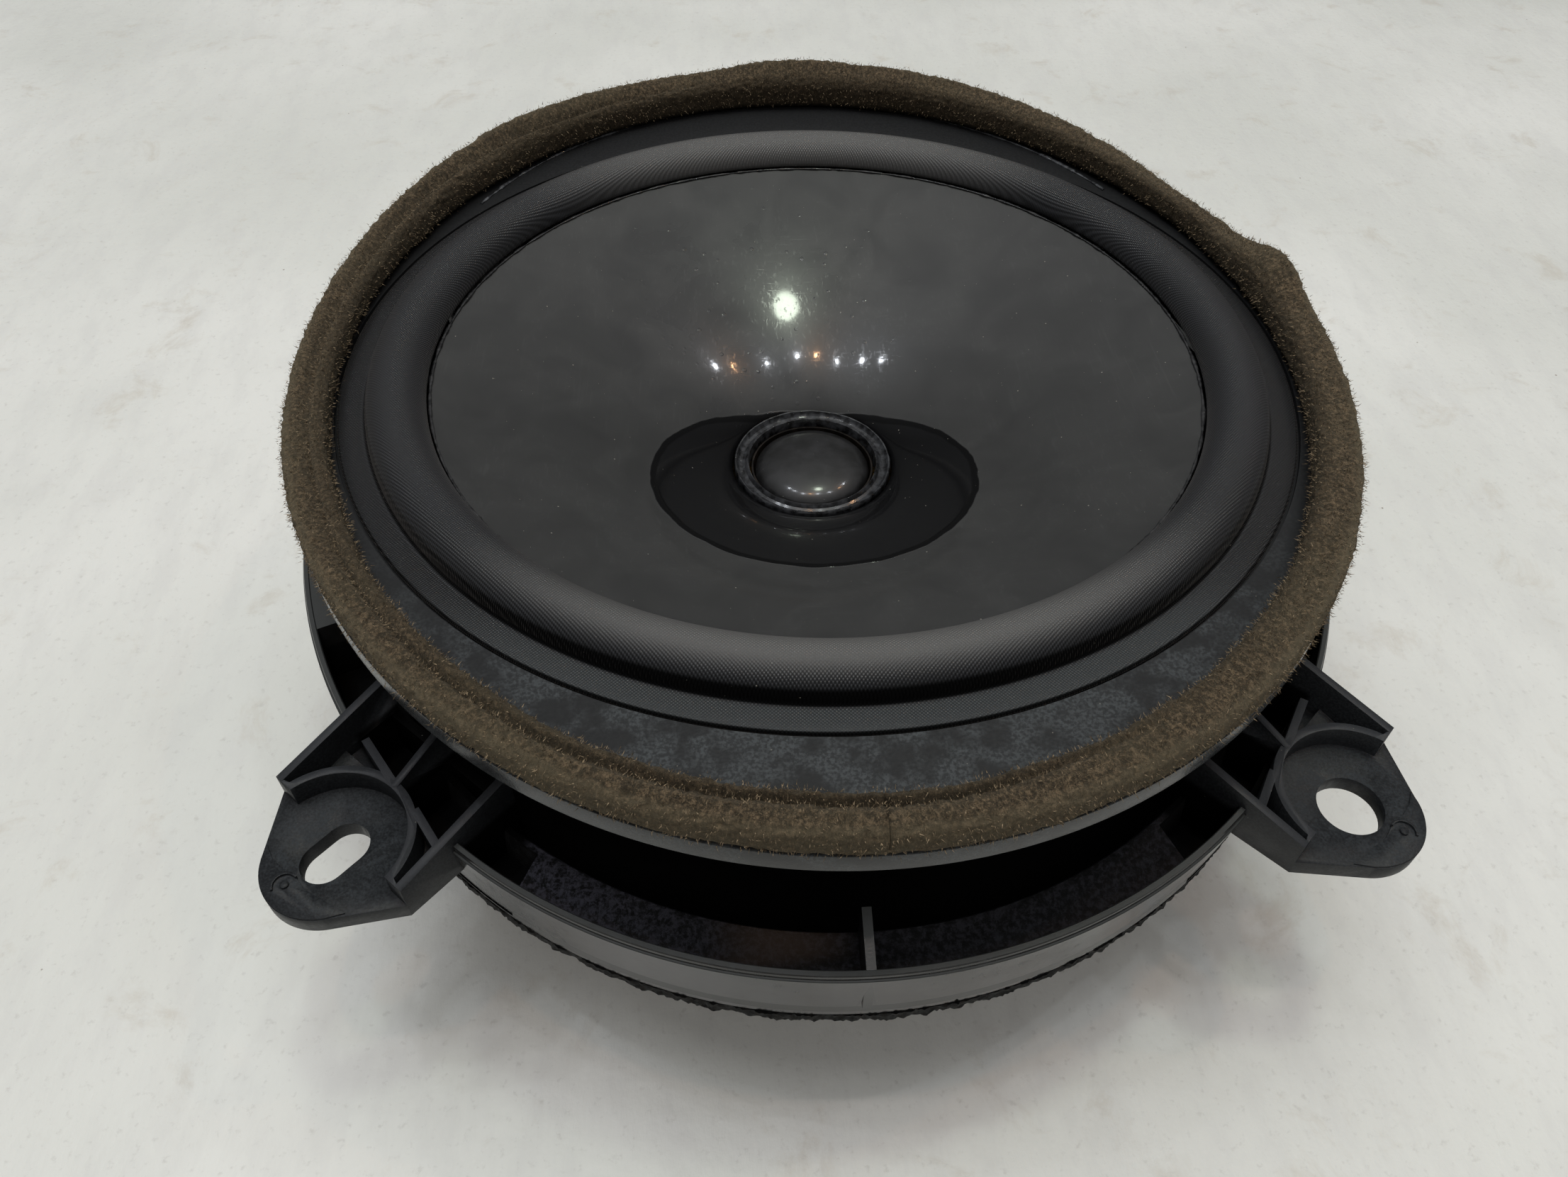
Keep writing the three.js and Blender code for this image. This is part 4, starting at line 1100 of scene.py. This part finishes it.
def ear_ribs():
    """The walls, webs and ribs that stand on an ear, in its own frame."""
    middle = EAR_HALF_WIDTH - EAR_WALL / 2
    root = EAR_ROOT + 0.7
    return [
        upright_strip("wall", (EAR_ROOT, middle), (EAR_END, middle), EAR_WALL, EAR_BOTTOM, wall_top),
        upright_strip("wall", (EAR_ROOT, -middle), (EAR_END, -middle), EAR_WALL, EAR_BOTTOM, wall_top),
        prism("cup", cup_outline(), PAD_BOTTOM, RING_TOP),
        upright_strip("near_web", (89.4, -5), (91.3, -middle), EAR_RIB, EAR_BOTTOM, RING_TOP),
        upright_strip("rear_web", (CUP_APEX, 0), (86.7, 9), EAR_RIB, EAR_BOTTOM, RING_TOP),
        upright_strip("middle_rib", (EAR_ROOT, 0), (CUP_APEX, 0), EAR_RIB, EAR_BOTTOM,
                      lambda x, y: RING_TOP + 0.42 * (CUP_APEX - x)),
        prism("gusset", [(CUP_APEX, 5.5), (95.5, middle), (CUP_APEX, middle)], EAR_BOTTOM + 1,
              lambda x, y: RING_TOP - 3.2 - 0.3 * (x - CUP_APEX)),
        upright_strip("root", (root, -middle), (root, middle), 1.4, EAR_BOTTOM, RING_TOP - 3)]


def outside_ring(matrix):
    """The space below the pads and outside the ring's wall, in an ear's own frame."""
    section = box_section(RING_RADIUS - RING_WALL - 0.2, 2 * RING_RADIUS, 20, PAD_BOTTOM)
    outside = turned("outside", section, circle(240), OVAL)
    return placed(outside, matrix.inverted())


def make_ear(place, azimuth, plastic):
    slotted = place in ("front_left", "rear_right")
    matrix = ear_matrix(azimuth, -1 if slotted else 1)
    middle = EAR_HALF_WIDTH - EAR_WALL / 2
    ear = prism("pad", pad_outline(), PAD_BOTTOM, PAD_TOP)
    combined(ear, ear_ribs() + [tip_plate()] + injection_mark(), "UNION")
    ear.name = f"ear_{place}_moulding"
    combined(ear, [outside_ring(matrix)], "DIFFERENCE")
    floor = prism("floor", [(89.3, -middle), (EAR_END, -middle), (EAR_END, middle), (85.7, middle)],
                  PAD_BOTTOM, PAD_BOTTOM + 1.4)
    combined(ear, [floor], "UNION")
    combined(ear, [prism("hole", ear_hole(slotted), PAD_TOP - 10, PAD_TOP + 10)], "DIFFERENCE")
    softened(ear, 0.12, 2, 30)
    placed(ear, matrix)
    return finished(ear, plastic, FRAME_BODY, "plastic", f"mounting_ear_{place}")


# -------- gaskets

FOAM_INNER = 74.0
FOAM_SEAM = 0.6  # azimuth where the strip's two ends meet
STRIP_SCALE = 1.45  # mm along the strip for each degree
NAP_FIBRES = 42000
FOAM_STEPS = 64
FOAM_SQUARENESS = 0.55
# the strip stands prouder round the back, dips at the right, and steps where its tape overlaps:
# height in mm, azimuth of the middle and half width in degrees
FOAM_HILLS = [(2.9, -140, 42), (2.7, 168, 42), (-2.3, 116, 24), (1.2, 180, 13), (3.2, 98, 9), (-0.6, -84, 30)]


def foam_outline():
    """The strip's soft cross-section as (radius, level), leaning inwards at the top."""
    half_width, half_height = (FOAM_HIGH.x - FOAM_INNER) / 2, (FOAM_HIGH.z - FOAM_LOW.z) / 2
    lip_inner = RIM_RADIUS - LIP_WIDTH - 0.1
    outline = [(FOAM_INNER + 1, FOAM_LOW.z), (lip_inner, FOAM_LOW.z), (lip_inner, LIP_TOP + 0.1),
               (RIM_RADIUS - 0.35, LIP_TOP + 0.12)]
    for i in range(-FOAM_STEPS // 4, 3 * FOAM_STEPS // 4):
        angle = 2 * math.pi * i / FOAM_STEPS
        across, up = math.cos(angle), math.sin(angle)
        across = math.copysign(abs(across) ** FOAM_SQUARENESS, across)
        up = math.copysign(abs(up) ** FOAM_SQUARENESS, up)
        level = FOAM_LOW.z + half_height * (1 + up)
        if up > -0.7 and (across < 0 or level > LIP_TOP + 0.5):
            outline.append(((FOAM_INNER + FOAM_HIGH.x) / 2 + across * half_width, level))
    return outline


def hill(azimuth, centre, width):
    """1 at the centre azimuth, falling smoothly to 0 at width degrees from it."""
    away = (azimuth - centre + 180) % 360 - 180
    return ease(abs(away), width, 0)


def foam_lift(azimuth):
    return sum(height * hill(azimuth, centre, width) for height, centre, width in FOAM_HILLS)


def crease_side(azimuth):
    """1 on the left and front, where the strip is creased, 0 elsewhere."""
    return ease(math.cos(math.radians(azimuth) + math.radians(70)), -0.25, 0.35)


def foam_crease(azimuth, share):
    """How near a point across the strip is to its lengthways crease."""
    left = ease(-math.sin(math.radians(azimuth)), 0.2, 1.0)
    place = 0.27 + 0.15 * left + 0.05 * wander(20, azimuth * STRIP_SCALE, 3, 7)
    return crease_side(azimuth) * math.exp(-((share - place) / 0.08) ** 2)


def foam_shape(radius, azimuth, level):
    """Uneven foam: a wavy inner edge, a crease near it on the left and front, and a nap of short fibres."""
    share = (radius - FOAM_INNER) / (FOAM_HIGH.x - FOAM_INNER)
    height = (level - FOAM_LOW.z) / (FOAM_HIGH.z - FOAM_LOW.z)
    along = azimuth * STRIP_SCALE
    wave = 0.35 * wander(14, along, 0, 1) + 0.15 * wander(4, along, 5, 1)
    radius += wave * (1 - share) + 0.18 * wander(9, along, 9, 3) * share - 0.1
    level -= 1.5 * foam_crease(azimuth, share) * (height > 0.5)
    level -= 0.35 * (1 - share) * height * crease_side(azimuth)
    level += 0.22 * wander(11, along, share * 3, 2) * height - 0.15 * height
    level += foam_lift(azimuth) * height * (0.1 + 0.9 * share)
    nap = 0.22 * wander(0.9, along, radius, level) + 0.16 * wander(0.45, along * 1.3, radius, level)
    radius += nap * (1 if share > 0.5 else -1)
    level += nap * height
    return radius, level


def make_front_foam():
    sweep = [FOAM_SEAM + 359.95 * i / 800 for i in range(801)]
    outline = foam_outline()
    foam = turned("front_foam_strip", outline, sweep, OVAL, foam_shape, closed=False, sharp_angle=180)
    foam.data.attributes.new("strip", "FLOAT_VECTOR", "POINT")
    foam.data.attributes.new("crease", "FLOAT", "POINT")
    values = np.zeros((len(foam.data.vertices), 3))
    creased = np.zeros(len(foam.data.vertices))
    for i, vertex in enumerate(foam.data.vertices):
        x, y, z = vertex.co / MM
        azimuth = math.atan2(x / RIM_RADIUS, -y / (RIM_RADIUS + OVAL))
        radius = math.hypot(x, y) - OVAL * math.cos(azimuth) ** 2
        values[i] = (math.degrees(azimuth) * STRIP_SCALE, radius - FOAM_INNER, z - FOAM_LOW.z)
        creased[i] = foam_crease(math.degrees(azimuth), (radius - FOAM_INNER) / (FOAM_HIGH.x - FOAM_INNER))
    foam.data.attributes["strip"].data.foreach_set("vector", values.ravel())
    foam.data.attributes["crease"].data.foreach_set("value", creased)
    make_foam_nap(foam)
    return finished(foam, olive_foam(), FRAME_BODY, "foam", "front_foam_gasket")


def make_foam_nap(foam):
    """Short fibres that stand out from the foam strip, one thin triangle each."""
    generator = np.random.default_rng(11)
    mesh = foam.data
    middles = np.array([face.center for face in mesh.polygons])
    normals = np.array([face.normal for face in mesh.polygons])
    areas = np.array([face.area if face.center.z > LIP_TOP * MM else 0 for face in mesh.polygons])
    chosen = generator.choice(len(areas), NAP_FIBRES, p=areas / areas.sum())
    roots = middles[chosen] / MM + generator.normal(0, 0.25, (NAP_FIBRES, 3))
    directions = normals[chosen] + generator.normal(0, 0.45, (NAP_FIBRES, 3))
    directions /= np.linalg.norm(directions, axis=1)[:, None]
    across = np.cross(directions, generator.normal(0, 1, (NAP_FIBRES, 3)))
    across /= np.linalg.norm(across, axis=1)[:, None]
    tips = roots + directions * generator.uniform(0.2, 0.75, (NAP_FIBRES, 1))
    points = np.stack([roots - across * 0.07, roots + across * 0.05, tips], axis=1).reshape(-1, 3) * MM
    nap = bpy.data.meshes.new("front_foam_nap")
    nap.from_pydata(points.tolist(), [], np.arange(3 * NAP_FIBRES).reshape(-1, 3).tolist())
    piece = bpy.data.objects.new("front_foam_nap", nap)
    bpy.context.collection.objects.link(piece)
    return finished(piece, foam_fibre(), FRAME_BODY, "foam")


BASE_SCALE = 1.5  # mm along the strip for each degree
BASE_FOAM_INNER = 78.6
BASE_FOAM_MIDDLE = 81.0


def ragged(radius, azimuth, level):
    """Torn lower and outer edges of the strip under the mounting ring."""
    along = azimuth * BASE_SCALE
    outside = ease(radius, BASE_FOAM_MIDDLE, BASE_FOAM_MIDDLE + 2.4)
    low = ease(level, BASE_FOAM_HIGH.z - 0.2, BASE_FOAM_LOW.z + 0.2)
    radius += outside * (0.25 * wander(1.6, along, level, 4) + 0.3 * wander(0.55, along, level, 8) - 0.75)
    level += low * 0.3 * (wander(1.3, along, radius, 2) + wander(0.5, along, radius, 6))
    return radius, level


def make_base_foam():
    low, high = BASE_FOAM_LOW.z + 0.2, BASE_FOAM_HIGH.z
    outer = BASE_FOAM_HIGH.x
    bottom = [(BASE_FOAM_INNER + (outer - BASE_FOAM_INNER) * i / 8, low) for i in range(9)]
    side = [(outer, low + (high - low) * i / 4) for i in range(1, 5)]
    outline = bottom + side + [(BASE_FOAM_MIDDLE, high), (BASE_FOAM_INNER, high)]
    foam = turned("base_foam_strip", outline, circle(1400), OVAL, ragged, sharp_angle=60)
    return finished(foam, black_foam(), FRAME_BODY, "gasket", "base_gasket")


# -------- cone and its centre

def cone_level(radius):
    share = max(radius - NECK_RADIUS, 0) / (CONE_RADIUS - NECK_RADIUS)
    return NECK_LEVEL + (CONE_HIGH.z - NECK_LEVEL) * share ** CONE_FLARE


def glue_edge(azimuth):
    """Radius at which the glue round the neck ends."""
    front = math.cos(math.radians(azimuth) + GLUE_TURN)
    return GLUE_INNER + GLUE_REACH * ((1 + front) / 2) ** GLUE_POWER


def make_cone():
    radii = [NECK_RADIUS + (CONE_RADIUS - NECK_RADIUS) * (i / 110) ** 1.3 for i in range(111)]
    face = [(r, cone_level(r)) for r in radii]
    back = [(r, cone_level(r) - CONE_THICKNESS - (1 if r == NECK_RADIUS else 0)) for r in radii[::5]][::-1]

    def film(radius, azimuth, level):
        if level >= cone_level(radius) - 0.01:
            level += 0.12 * ease(glue_edge(azimuth) - radius, -0.4, 1.0)
        return radius, level

    cone = turned("cone_skin", face + back, circle(400), shape=film)
    return finished(cone, cone_skin(), CONE_BODY, "cone", "cone")


FORMER_INNER = 10.25
FORMER_OUTER = 10.6
FORMER_TOP = 39.6  # just below the lip of glue that covers it
COIL_INNER = 10.9


def make_neck():
    low, high = span("neck_ring")
    outline = [(10.9, low.z), (13.55, low.z)]
    outline += [(13.6, 40.3), (13.55, 40.8), (13.4, high.z), (13.2, 40.95), (13.0, 40.5), (12.7, 40.2),
                (12.2, 40.1), (11.75, 40.3), (11.5, 40.75), (11.3, 40.95), (11.1, 40.8), (10.9, 39.8)]

    def lumpy(radius, azimuth, level):
        around = (math.sin(math.radians(azimuth)) * 13, math.cos(math.radians(azimuth)) * 13)
        lump = 0.1 * wander(2.2, *around, radius) + 0.05 * wander(0.8, *around, radius + 9)
        return (radius, level + lump) if level > 40.3 else (radius, level)

    ring = turned("neck_glue_ring", outline, circle(288), shape=lumpy)
    skin = clear_glue("neck_glue", (0.003, 0.003, 0.0035), (0.032, 0.034, 0.038))
    finished(ring, skin, CONE_BODY, "glue", "neck_ring")
    low, high = span("coil_former")
    section = box_section(FORMER_INNER, FORMER_OUTER, low.z, FORMER_TOP)
    former = turned("coil_former_film", rounded(section, 0.1), circle(160))
    finished(former, painted_shade_film(), CONE_BODY, "film", "coil_former")
    low, high = span("voice_coil")
    section = box_section(COIL_INNER, high.x, low.z, high.z)
    coil = turned("voice_coil_winding", rounded(section, 0.3), circle(160))
    finished(coil, wound_copper(), CONE_BODY, "copper", "voice_coil")


CAP_EDGE = 38.6  # level of the dome's rim
CAP_THICKNESS = 0.6


def make_dust_cap():
    low, high = span("dust_cap")
    radius, rise = high.x, high.z - CAP_EDGE
    under = CAP_EDGE - CAP_THICKNESS
    angles = np.linspace(0.1, math.pi / 2, 30)
    dome = [(radius * math.cos(a), CAP_EDGE + rise * math.sin(a)) for a in angles[:-1]] + [(0, high.z)]
    angles = np.linspace(0, 1.45, 14)
    inside = [((radius - CAP_THICKNESS) * math.sin(a), under + rise * math.cos(a)) for a in angles]
    lip = [(radius - 0.5, under + 0.1), (radius, under + 0.2), (radius + 0.05, CAP_EDGE + 0.1)]
    cap = turned("dust_cap_dome", inside + lip + dome, circle(200), sharp_angle=60)
    return finished(cap, cap_skin(), CONE_BODY, "cone", "dust_cap")


def bead_line(name, azimuths, path, thickness, surface, body, oval=0.0, closed=True):
    """A thin uneven bead of glue along a path of (radius, level)."""
    def uneven(across, azimuth, up):
        radius, level = path(azimuth)
        girth = 0.75 + 0.55 * wander(2.5, azimuth, radius, 3) + 0.45 * wander(0.7, azimuth, radius, 8)
        girth = thickness * max(girth, 0.25)
        return radius + 1.5 * girth * across, level + girth * up

    bead = turned(name, arc(1, 0, 315, 7), azimuths, oval, uneven, closed, sharp_angle=80)
    return finished(bead, surface, body, "glue")


RIM_GLUE_HALF_TURN = 54
RIM_GLUE_RADIUS = 76.4


def make_glue_lines():
    dark = clear_glue("dark_glue", (0.004, 0.004, 0.0045), (0.03, 0.03, 0.031))
    bead_line("cone_edge_glue", circle(720), lambda a: (CONE_RADIUS - 0.1, CONE_HIGH.z + 0.1), 0.2, dark,
              CONE_BODY)
    back = [180 + RIM_GLUE_HALF_TURN * (i / 130 - 1) for i in range(261)]

    def rim_path(azimuth):
        return RIM_GLUE_RADIUS - 3.9 * ((azimuth - 180) / RIM_GLUE_HALF_TURN) ** 2, RIM_TOP + 0.05

    bead_line("rim_glue_line", back, rim_path, 0.28, clear_glue("bright_glue"), FRAME_BODY, OVAL,
              closed=False)


# -------- surround and spider

def sectors_of(name, outline, count, steps, surface, slot, node):
    """A flexible ring in sectors, each its own piece.

    Their normals are those of the whole ring, so that the joins don't show.
    """
    total = count * steps
    whole = turned(name, outline, circle(total), sharp_angle=180)
    corners = {}
    for vertex in whole.data.vertices:
        corners[tuple(round(c, 7) for c in vertex.co)] = vertex.normal.copy()
    bpy.data.objects.remove(whole)
    for number in range(count):
        azimuths = [360 * (number * steps + i) / total for i in range(steps + 1)]
        part = turned(f"{name}_{number + 1:02d}", outline, azimuths, closed=False, sharp_angle=180)
        normals = [corners.get(tuple(round(c, 7) for c in v.co), v.normal) for v in part.data.vertices]
        part.data.normals_split_custom_set_from_vertices(normals)
        finished(part, surface, None, slot, node)
        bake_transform(part)


def make_surround():
    middle, half = (ROLL_INNER + ROLL_OUTER) / 2, (ROLL_OUTER - ROLL_INNER) / 2
    base = SURROUND_LOW.z
    rise = SURROUND_HIGH.z - base - CLOTH
    steps = 26
    upper, lower = [], []
    for i in range(steps + 1):
        angle = math.pi * (1 - i / steps)
        x, y = math.cos(angle), math.sin(angle)
        upper.append((middle + half * x, base + CLOTH + rise * y))
        lower.append((middle + (half - 0.5) * x, base + (rise - 0.05) * y))
    flange = [(radius, base + CLOTH) for radius in (70.6, 72.4, CLOTH_EDGE - 0.3)]
    flange += [(CLOTH_EDGE, base + 0.4), (CLOTH_EDGE, base)]
    outline = upper + flange + lower[::-1]
    sectors_of("surround", outline, 24, 15, surround_cloth(), "cloth", "surround")


SPIDER_LOW, SPIDER_HIGH = span("spider")
SPIDER_INNER = COIL_INNER
SPIDER_ROLL_PITCH = 3.6
SPIDER_ROLL_END = 34.5  # radius where the flat clamped edge begins


def spider_level(radius):
    flat = ease(radius, SPIDER_ROLL_END, SPIDER_ROLL_END - 2.5)
    swing = ease(radius, SPIDER_INNER + 1, SPIDER_INNER + 4) * flat
    wave = math.sin((radius - SPIDER_INNER) * 2 * math.pi / SPIDER_ROLL_PITCH)
    return SPIDER_LOW.z + 0.45 + 0.42 * flat + 0.42 * swing * wave


def make_spider():
    radii = [float(radius) for radius in np.linspace(SPIDER_INNER, SPIDER_HIGH.x, 120)]
    upper = [(radius, spider_level(radius) + 0.2) for radius in radii]
    lower = [(radius, spider_level(radius) - 0.2) for radius in radii[::-1]]
    sectors_of("spider", upper + lower, 16, 12, spider_cloth(), "spider", "spider")


# -------- connector and leads

SOCKET_WALL = 1.6
KEY_HALF_WIDTH = 2.2


def make_connector(plastic, steel, strand):
    low, high = span("connector_housing")
    wall = SOCKET_WALL
    shell = block("connector_shell", low, high)
    socket = block("socket", (low.x + wall, low.y + wall, low.z + wall),
                   (high.x - wall, high.y + 1, high.z - wall))
    key = block("key", (-KEY_HALF_WIDTH, high.y - 7, low.z - 1),
                (KEY_HALF_WIDTH, high.y + 1, low.z + wall + 1))
    softened(combined(shell, [socket, key], "DIFFERENCE"), 0.35, 3)
    finished(shell, plastic, FRAME_BODY, "plastic", "connector_housing")
    for number in (1, 2):
        low, high = span(f"terminal_pin_{number}")
        pin = block(f"blade_pin_{number}", low, high)
        finished(softened(pin, 0.25, 3), steel, FRAME_BODY, "steel", f"terminal_pin_{number}")
        low, high = span(f"solder_tag_{number}")
        tag = block(f"lug_{number}", low, high)
        finished(softened(tag, 0.2, 3), strand, FRAME_BODY, "copper", f"solder_tag_{number}")


LEAD_ROUTE = [(46.2, 37), (43, 36.8), (37, 34.2), (30, 35.6), (24, 40.4), (21.4, 43.4)]


def catmull(points, steps):
    """A smooth curve through all the points."""
    points = [Vector(p) for p in points]
    padded = [points[0] * 2 - points[1]] + points + [points[-1] * 2 - points[-2]]
    curve = []
    for a, b, c, d in zip(padded, padded[1:], padded[2:], padded[3:]):
        for i in range(steps):
            t = i / steps
            curve.append(0.5 * (2 * b + (c - a) * t + (2 * a - 5 * b + 4 * c - d) * t ** 2
                                + (3 * b - a - 3 * c + d) * t ** 3))
    curve.append(points[-1])
    return curve


def make_leads(strand):
    """Two braided leads from the solder tags to the cone, each of three twisted strands."""
    sides, turns_per_mm = 24, 0.35
    for number in (1, 2):
        low, high = span(f"tinsel_lead_{number}")
        x = (low.x + high.x) / 2
        curve = catmull([(x, y, z) for y, z in LEAD_ROUTE], 24)
        points, travelled = [], 0.0
        for i, point in enumerate(curve):
            ahead = (curve[min(i + 1, len(curve) - 1)] - curve[max(i - 1, 0)]).normalized()
            across = Vector((1, 0, 0))
            up = ahead.cross(across)
            if i:
                travelled += (point - curve[i - 1]).length
            for k in range(sides):
                angle = 2 * math.pi * k / sides
                reach = 0.47 + 0.11 * abs(math.cos(1.5 * (angle - 2 * math.pi * turns_per_mm * travelled)))
                points.append(point + (across * math.cos(angle) + up * math.sin(angle)) * reach)
        lead = build(f"braided_lead_{number}", points, tube_faces(len(curve), sides), 80)
        finished(lead, strand, None, "copper", f"tinsel_lead_{number}")
        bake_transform(lead)


steel = zinc_steel()
strand = tinned_copper()
basket_plastic = moulded_plastic()

add_camera()
add_stage()
make_motor(steel)
make_rim()
make_cage(basket_plastic)
make_mounting_ring(basket_plastic)
scuffed_plastic = ear_plastic()
for ear_place, ear_turn in EAR_AZIMUTHS.items():
    make_ear(ear_place, ear_turn, scuffed_plastic)
make_front_foam()
make_base_foam()
make_cone()
make_neck()
make_dust_cap()
make_glue_lines()
make_surround()
make_spider()
make_connector(basket_plastic, steel, strand)
make_leads(strand)
